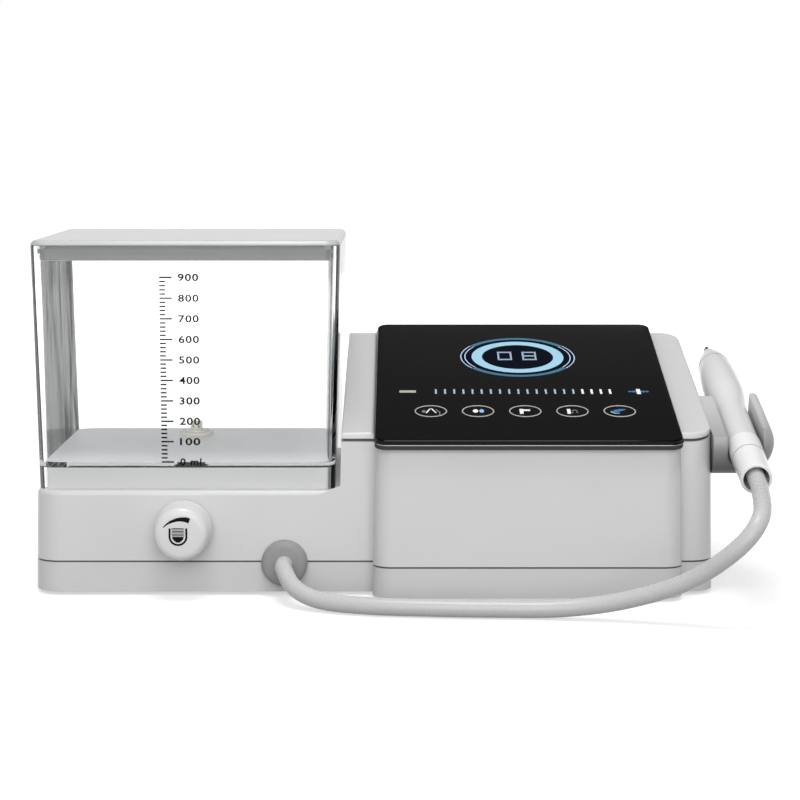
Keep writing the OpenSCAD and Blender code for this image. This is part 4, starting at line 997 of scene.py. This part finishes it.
lit_sign("key_pictures_white", sign_white, white_strokes)
lit_sign("key_pictures_grey", sign_dim, grey_strokes)
lit_sign("key_pictures_blue", sign_blue, blue_strokes)
lit_sign("key_pictures_light_blue", sign_light_blue, light_blue_strokes)
print("key pictures: 4 colours")

# %% [markdown]
# ## The tank's scale
#
# A scale in millilitres is printed on the tank's front wall: a long mark and a number for each
# hundred, and four short marks between. The wall leans back a little, so the print leans with it.

# %% Marks of the scale
TANK_TOP = 141.5
TANK_LEAN = 0.0227      # how far the wall comes forward for each millimetre down
TANK_RIM_FRONT = -48.916
SCALE_LOW, SCALE_STEP = 54.2, 8.311     # height of the 0 mark, and of each hundred
MARK_LEFT, LONG_END, SHORT_END = -98.4, -93.4, -96.0
tank_face = place((0, TANK_RIM_FRONT + TANK_TOP * TANK_LEAN, 0), (1, 0, 0), (0, -TANK_LEAN, 1))
scale_ink = moulded("scale_ink_black", "#060606", 0.6, ior=1.2)
bm = bmesh.new()
for k in range(46):
    y = SCALE_LOW + k * SCALE_STEP / 5
    pen(bm, [(MARK_LEFT, y), (LONG_END if k % 5 == 0 else SHORT_END, y)], 0.6)
to_print(bm, "tank_scale_marks", scale_ink, tank_face, "tank")
print("scale: 46 marks,", round(SCALE_STEP / 5, 3), "mm apart")

# %% [markdown]
# ## The scale's numbers
#
# The numbers are Blender's own letters. They are turned into a mesh first, then scaled to the height
# and width that the print has, and raised like the marks, so that no text object is left behind.

# %% Numbers of the scale
NUMBER_LEFT, NUMBER_HEIGHT = -90.9, 3.0


def number(text, name, y, width):
    """A number on the scale, its middle at height y, as a flat print."""
    letters = bpy.data.curves.new(name, "FONT")
    letters.body = text
    letters.size = 1
    letters.offset = 0.02
    letters.space_character = 1.12
    letters.resolution_u = 4
    written = bpy.data.objects.new(name + "_letters", letters)
    bpy.context.scene.collection.objects.link(written)
    bpy.context.view_layer.update()
    flat = bpy.data.meshes.new_from_object(written.evaluated_get(bpy.context.evaluated_depsgraph_get()))
    bm = bmesh.new()
    bm.from_mesh(flat)
    bpy.data.objects.remove(written)
    low = min(v.co.y for v in bm.verts)
    left = min(v.co.x for v in bm.verts)
    tall = NUMBER_HEIGHT / (max(v.co.y for v in bm.verts) - low)
    wide = width / (max(v.co.x for v in bm.verts) - left)
    bmesh.ops.translate(bm, vec=(-left, -low, 0), verts=bm.verts)
    bmesh.ops.scale(bm, vec=(wide, tall, 1), verts=bm.verts)
    bmesh.ops.translate(bm, vec=(NUMBER_LEFT, y - NUMBER_HEIGHT / 2, 0), verts=bm.verts)
    to_print(bm, name, scale_ink, tank_face, "tank")


for k in range(1, 10):
    number(str(100 * k), "scale_number_" + str(100 * k), SCALE_LOW + k * SCALE_STEP, 8.2)
number("0 ml", "scale_number_0", SCALE_LOW, 8.6)
print("numbers: 0 to 900,", NUMBER_HEIGHT, "mm high")

# %% [markdown]
# ## The water knob
#
# The knob is a short drum that narrows to the front, with a soft shoulder round a flat face. It is
# turned, like on a lathe: half its outline is drawn once and spun about its own axis.

# %% Knob
KNOB_AXIS = Vector((-89.4, -65.316, 27.5))
KNOB_DEEP = 15.1
KNOB_R = 11.7
knob_face = place(KNOB_AXIS, (1, 0, 0), (0, 0, 1))
round_by = [math.radians(11 * k) for k in range(8)]
shoulder = [(8.0 + 2.9 * math.sin(a), -3.0 + 3.0 * math.cos(a)) for a in round_by]
back = [(11.25, -6), (KNOB_R, 0.4 - KNOB_DEEP), (KNOB_R - 0.4, -KNOB_DEEP), (0, -KNOB_DEEP)]
outline = [(0, 0), (4, 0), *shoulder, *back]
bm = bmesh.new()
verts = [bm.verts.new((r, 0, z)) for r, z in outline]
edges = [bm.edges.new(pair) for pair in zip(verts, verts[1:])]
bmesh.ops.spin(bm, geom=verts + edges, cent=(0, 0, 0), axis=(0, 0, 1), dvec=(0, 0, 0), angle=math.tau,
               steps=96, use_merge=True)
bmesh.ops.remove_doubles(bm, verts=bm.verts, dist=1e-4)
knob = to_object(bm, "water_knob", knob_abs, knob_face)
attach(knob, "control_knob")
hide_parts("knob")
print("knob:", len(knob.data.polygons), "faces,", 2 * KNOB_R, "mm across at its back")

# %% [markdown]
# ## The knob's sign
#
# A sign is printed on the knob's face: a stroke that swells to the right, for more and less, over a
# cup with water in it. It sits on the face and turns with it.

# %% Knob sign
grey_ink = moulded("sign_ink_grey", "#4A4A4A", 0.6, ior=1.2)
cup_ink = moulded("sign_ink_light_grey", "#A8A8A8", 0.5)
bm = bmesh.new()
pen(bm, [(-6.85, 3.1), (-5.4, 4.4), (-3.9, 5.3), (-1.5, 6.15), (0.4, 6.35), (2.2, 6.2), (3.6, 5.7)],
    widths=[0.35, 0.65, 1.0, 1.35, 1.7, 1.95, 2.1])
pen(bm, [(-4.3, 2.7), *arc(-0.97, -0.65, 3.35, 180, 360), (2.35, 2.7)], 0.8)
to_print(bm, "knob_sign", scale_ink, knob_face, "control_knob", 0.05)
bm = bmesh.new()
pen(bm, [(-3.2, -0.9), (1.2, -0.9)], 0.3)
for y, half in ((-1.2, 2.25), (-1.7, 2.0), (-2.2, 1.6), (-2.7, 1.0)):
    block(bm, -1.0 - half, -1.0 + half, y - 0.3, y + 0.3)
to_print(bm, "knob_sign_water", scale_ink, knob_face, "control_knob", 0.03)
bm = bmesh.new()
for y in (2.6, 1.35, 0.05):
    block(bm, -3.2, 1.2, y - 0.2, y + 0.2)
to_print(bm, "knob_sign_lines", grey_ink, knob_face, "control_knob", 0.04)
bm = bmesh.new()
block(bm, -3.6, 1.6, -0.8, 2.8)
to_print(bm, "knob_sign_cup", cup_ink, knob_face, "control_knob", 0.02)
print("knob sign: 4 prints")

# %% [markdown]
# ## Seams of the handpiece
#
# The handpiece is put together from a sleeve, a nose and a cap, and a thin dark line shows at each
# joint. A small circle is spun about the handpiece's axis, so that it stands out by a tenth of a
# millimetre, like the lip of a real seam.

# %% Handpiece seams
handpiece_axis = place(on_slope(HANDPIECE_X, HANDPIECE_REAR, HANDPIECE_DROP), (1, 0, 0),
                       (0, math.sin(SLOPE), -math.cos(SLOPE)))
seam_grey = moulded("seam_grey", "#8E8E8E", 0.5)
SEAM_WIRE = 0.16
NOSE_SEAM, CAP_SEAM = 128, 20   # millimetres along the handpiece from its tail


def seam_ring(name, along, radius):
    """A thin torus about the handpiece's axis."""
    bm = bmesh.new()
    wire = bmesh.ops.create_circle(bm, segments=10, radius=SEAM_WIRE)["verts"]
    bmesh.ops.rotate(bm, verts=wire, cent=(0, 0, 0), matrix=Matrix.Rotation(math.pi / 2, 3, "X"))
    bmesh.ops.translate(bm, verts=wire, vec=(radius, 0, along))
    bmesh.ops.spin(bm, geom=wire + list(bm.edges), cent=(0, 0, 0), axis=(0, 0, 1), dvec=(0, 0, 0),
                   angle=math.tau, steps=64, use_merge=True)
    bmesh.ops.remove_doubles(bm, verts=bm.verts, dist=1e-4)
    made = to_object(bm, name, seam_grey, handpiece_axis)
    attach(made, "handpiece")


seam_ring("nose_seam", NOSE_SEAM, 6.82)
seam_ring("cap_seam", CAP_SEAM, 6.72)
print("seams at", CAP_SEAM, "and", NOSE_SEAM, "mm along the handpiece")

# %% [markdown]
# ## Finishes for the CAD parts
#
# The parts whose shape is right keep their mesh and only get a finish. The list says what each one is
# made of, also for the parts inside that show when the tank or a panel is off.

# %% Finish the frame's own parts
finishes = {
    black_rubber: "rubber_feet front_o_ring valve_seal",
    steel: "housing_screws holder_screws knob_spindle valve_spring back_mass pump_motor",
    tip_steel: "scaler_tip",
    black_abs: "panel_frame buzzer power_rocker rear_sockets switch_frame",
    grey_nylon: "pump_case tank_spigot ribbon_cable",
    ivory_acetal: "tank_valve valve_poppet strainer pump_rotor",
    hose_silicone: "pump_tube suction_hose delivery_hose valve_hose outlet_hose",
    cord_silicone: "cord_plug cord_tail",
    grommet_rubber: "cable_grommet",
    gasket_rubber: "lid_gasket",
    light_guide: "display_ring digit_display level_bar key_lights",
    aluminium: "heat_sink cord_clamp pump_saddle",
    brass: "flow_valve valve_nut",
    titanium: "horn",
    ceramic: "piezo_stack",
    ferrite: "output_transformer",
    pvc_blue: "capacitors solenoid_valve handpiece_leads",
    sleeve_abs: "handpiece_sleeve",
    cap_abs: "rear_cap",
    nose_abs: "nose_cone",
    clear_acrylic: "tank_body",
    board_green: "main_board display_board",
}
for finish, names in finishes.items():
    for name in names.split():
        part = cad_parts[name]
        part.data.materials.clear()
        part.data.materials.append(finish)
finished = {name for names in finishes.values() for name in names.split()}
print("finished:", len(finished), "left as they are:", sorted(set(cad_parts) - finished))

# %% [markdown]
# ## The world
#
# The photograph has a bare white ground. The world is white to the eye and through clear plastic. It
# lights matt surfaces at a moderate level. In gloss it is white near the horizon and darker high up,
# as a studio is above its bright backdrop, which is what keeps the glass panel black.

# %% World
def any_of(tree, seen, *names):
    """1 when the ray is of any of the named kinds."""
    found = seen.outputs[names[0]]
    for name in names[1:]:
        either = add_node(tree, "ShaderNodeMath", {0: found, 1: seen.outputs[name]}, operation="MAXIMUM")
        found = either.outputs[0]
    return found


SKY_DIFFUSE = 0.45      # strength for matt surfaces; 1 is white
SKY_HIGH = 0.08         # strength that gloss sees high up
world = bpy.data.worlds.new("studio")
bpy.context.scene.world = world
world.use_nodes = True
tree = world.node_tree
tree.nodes.clear()
seen = add_node(tree, "ShaderNodeLightPath")
way = add_node(tree, "ShaderNodeSeparateXYZ",
               {"Vector": add_node(tree, "ShaderNodeTexCoord").outputs["Generated"]})
gloss = add_node(tree, "ShaderNodeMapRange", {"Value": way.outputs["Z"], "From Min": 0.1,
                                              "From Max": 0.32, "To Min": 1.0, "To Max": SKY_HIGH})
eye_ray = any_of(tree, seen, "Is Camera Ray", "Is Transmission Ray")
plain = add_node(tree, "ShaderNodeMapRange", {"Value": eye_ray, "To Min": SKY_DIFFUSE, "To Max": 1.0})
strength = add_node(tree, "ShaderNodeMix",
                    {"Factor": seen.outputs["Is Glossy Ray"], "A": plain.outputs["Result"],
                     "B": gloss.outputs["Result"]}, data_type="FLOAT")
sky = add_node(tree, "ShaderNodeBackground",
               {"Color": (1, 1, 1, 1), "Strength": strength.outputs["Result"]})
add_node(tree, "ShaderNodeOutputWorld", {"Surface": sky.outputs["Background"]})
print("world nodes:", len(tree.nodes))

# %% [markdown]
# ## The floor
#
# The floor catches the object's soft shadow. For light that bounces it is a plain grey, so that it
# doesn't light the object's underside. For the eye, in gloss and through the clear tank it is pale,
# and it is lifted to white, more so far away where the lamps don't reach.

# %% Floor
FLOOR_HALF = 6          # metres
ground, tree, shader, place_on = new_material("pale_floor")
seen = add_node(tree, "ShaderNodeLightPath")
direct = any_of(tree, seen, "Is Camera Ray", "Is Glossy Ray", "Is Transmission Ray")
tone = add_node(tree, "ShaderNodeMix", {"Factor": direct, "A": colour("#8C8C8C"),
                                        "B": colour("#C8C8C8")}, data_type="RGBA")
away = add_node(tree, "ShaderNodeVectorMath", {0: place_on}, operation="LENGTH")
fade = add_node(tree, "ShaderNodeMapRange", {"Value": away.outputs["Value"], "From Min": 0.4,
                                             "From Max": 1.4, "To Min": 0.56, "To Max": 0.95})
lift = add_node(tree, "ShaderNodeMath", {0: direct, 1: fade.outputs["Result"]}, operation="MULTIPLY")
set_inputs(shader, {"Base Color": tone.outputs["Result"], "Emission Strength": lift.outputs[0],
                    "Emission Color": (1, 1, 1, 1), "Roughness": 0.9, "IOR": 1.2})
bm = bmesh.new()
bmesh.ops.create_grid(bm, x_segments=1, y_segments=1, size=FLOOR_HALF)
floor = to_object(bm, "floor", ground, closed=False)
print("floor:", 2 * FLOOR_HALF, "m square")

# %% [markdown]
# ## The lamps
#
# A small lamp high above draws the white lines on rounded edges and the soft shadows under the
# knob and the cord. A broad lamp in front fills the upright faces. One behind does the same for the
# back, and lights the tank's floor through its back wall, because the lid keeps the top lamp out.

# %% Lamps
def lamp(name, size, power, at, towards=(0, 0, 0.08)):
    """A square soft lamp at a place in metres, aimed at the object."""
    light = bpy.data.lights.new(name, "AREA")
    light.size = size
    light.energy = power
    made = bpy.data.objects.new(name, light)
    made.location = at
    made.visible_camera = False
    made.visible_transmission = False
    made.rotation_euler = (Vector(at) - Vector(towards)).to_track_quat("Z", "Y").to_euler()
    bpy.context.scene.collection.objects.link(made)
    return made


lamp("top_lamp", 0.5, 7.0, (0, -0.25, 1.25))
lamp("front_lamp", 1.4, 18, (0.05, -1.75, 0.6))
back_lamp = lamp("back_lamp", 1.3, 14, (-0.6, 1.5, 0.7), (-0.06, 0, 0.06))
back_lamp.visible_glossy = False
bpy.context.scene.view_settings.view_transform = "Standard"
print("lamps:", len(bpy.data.lights))
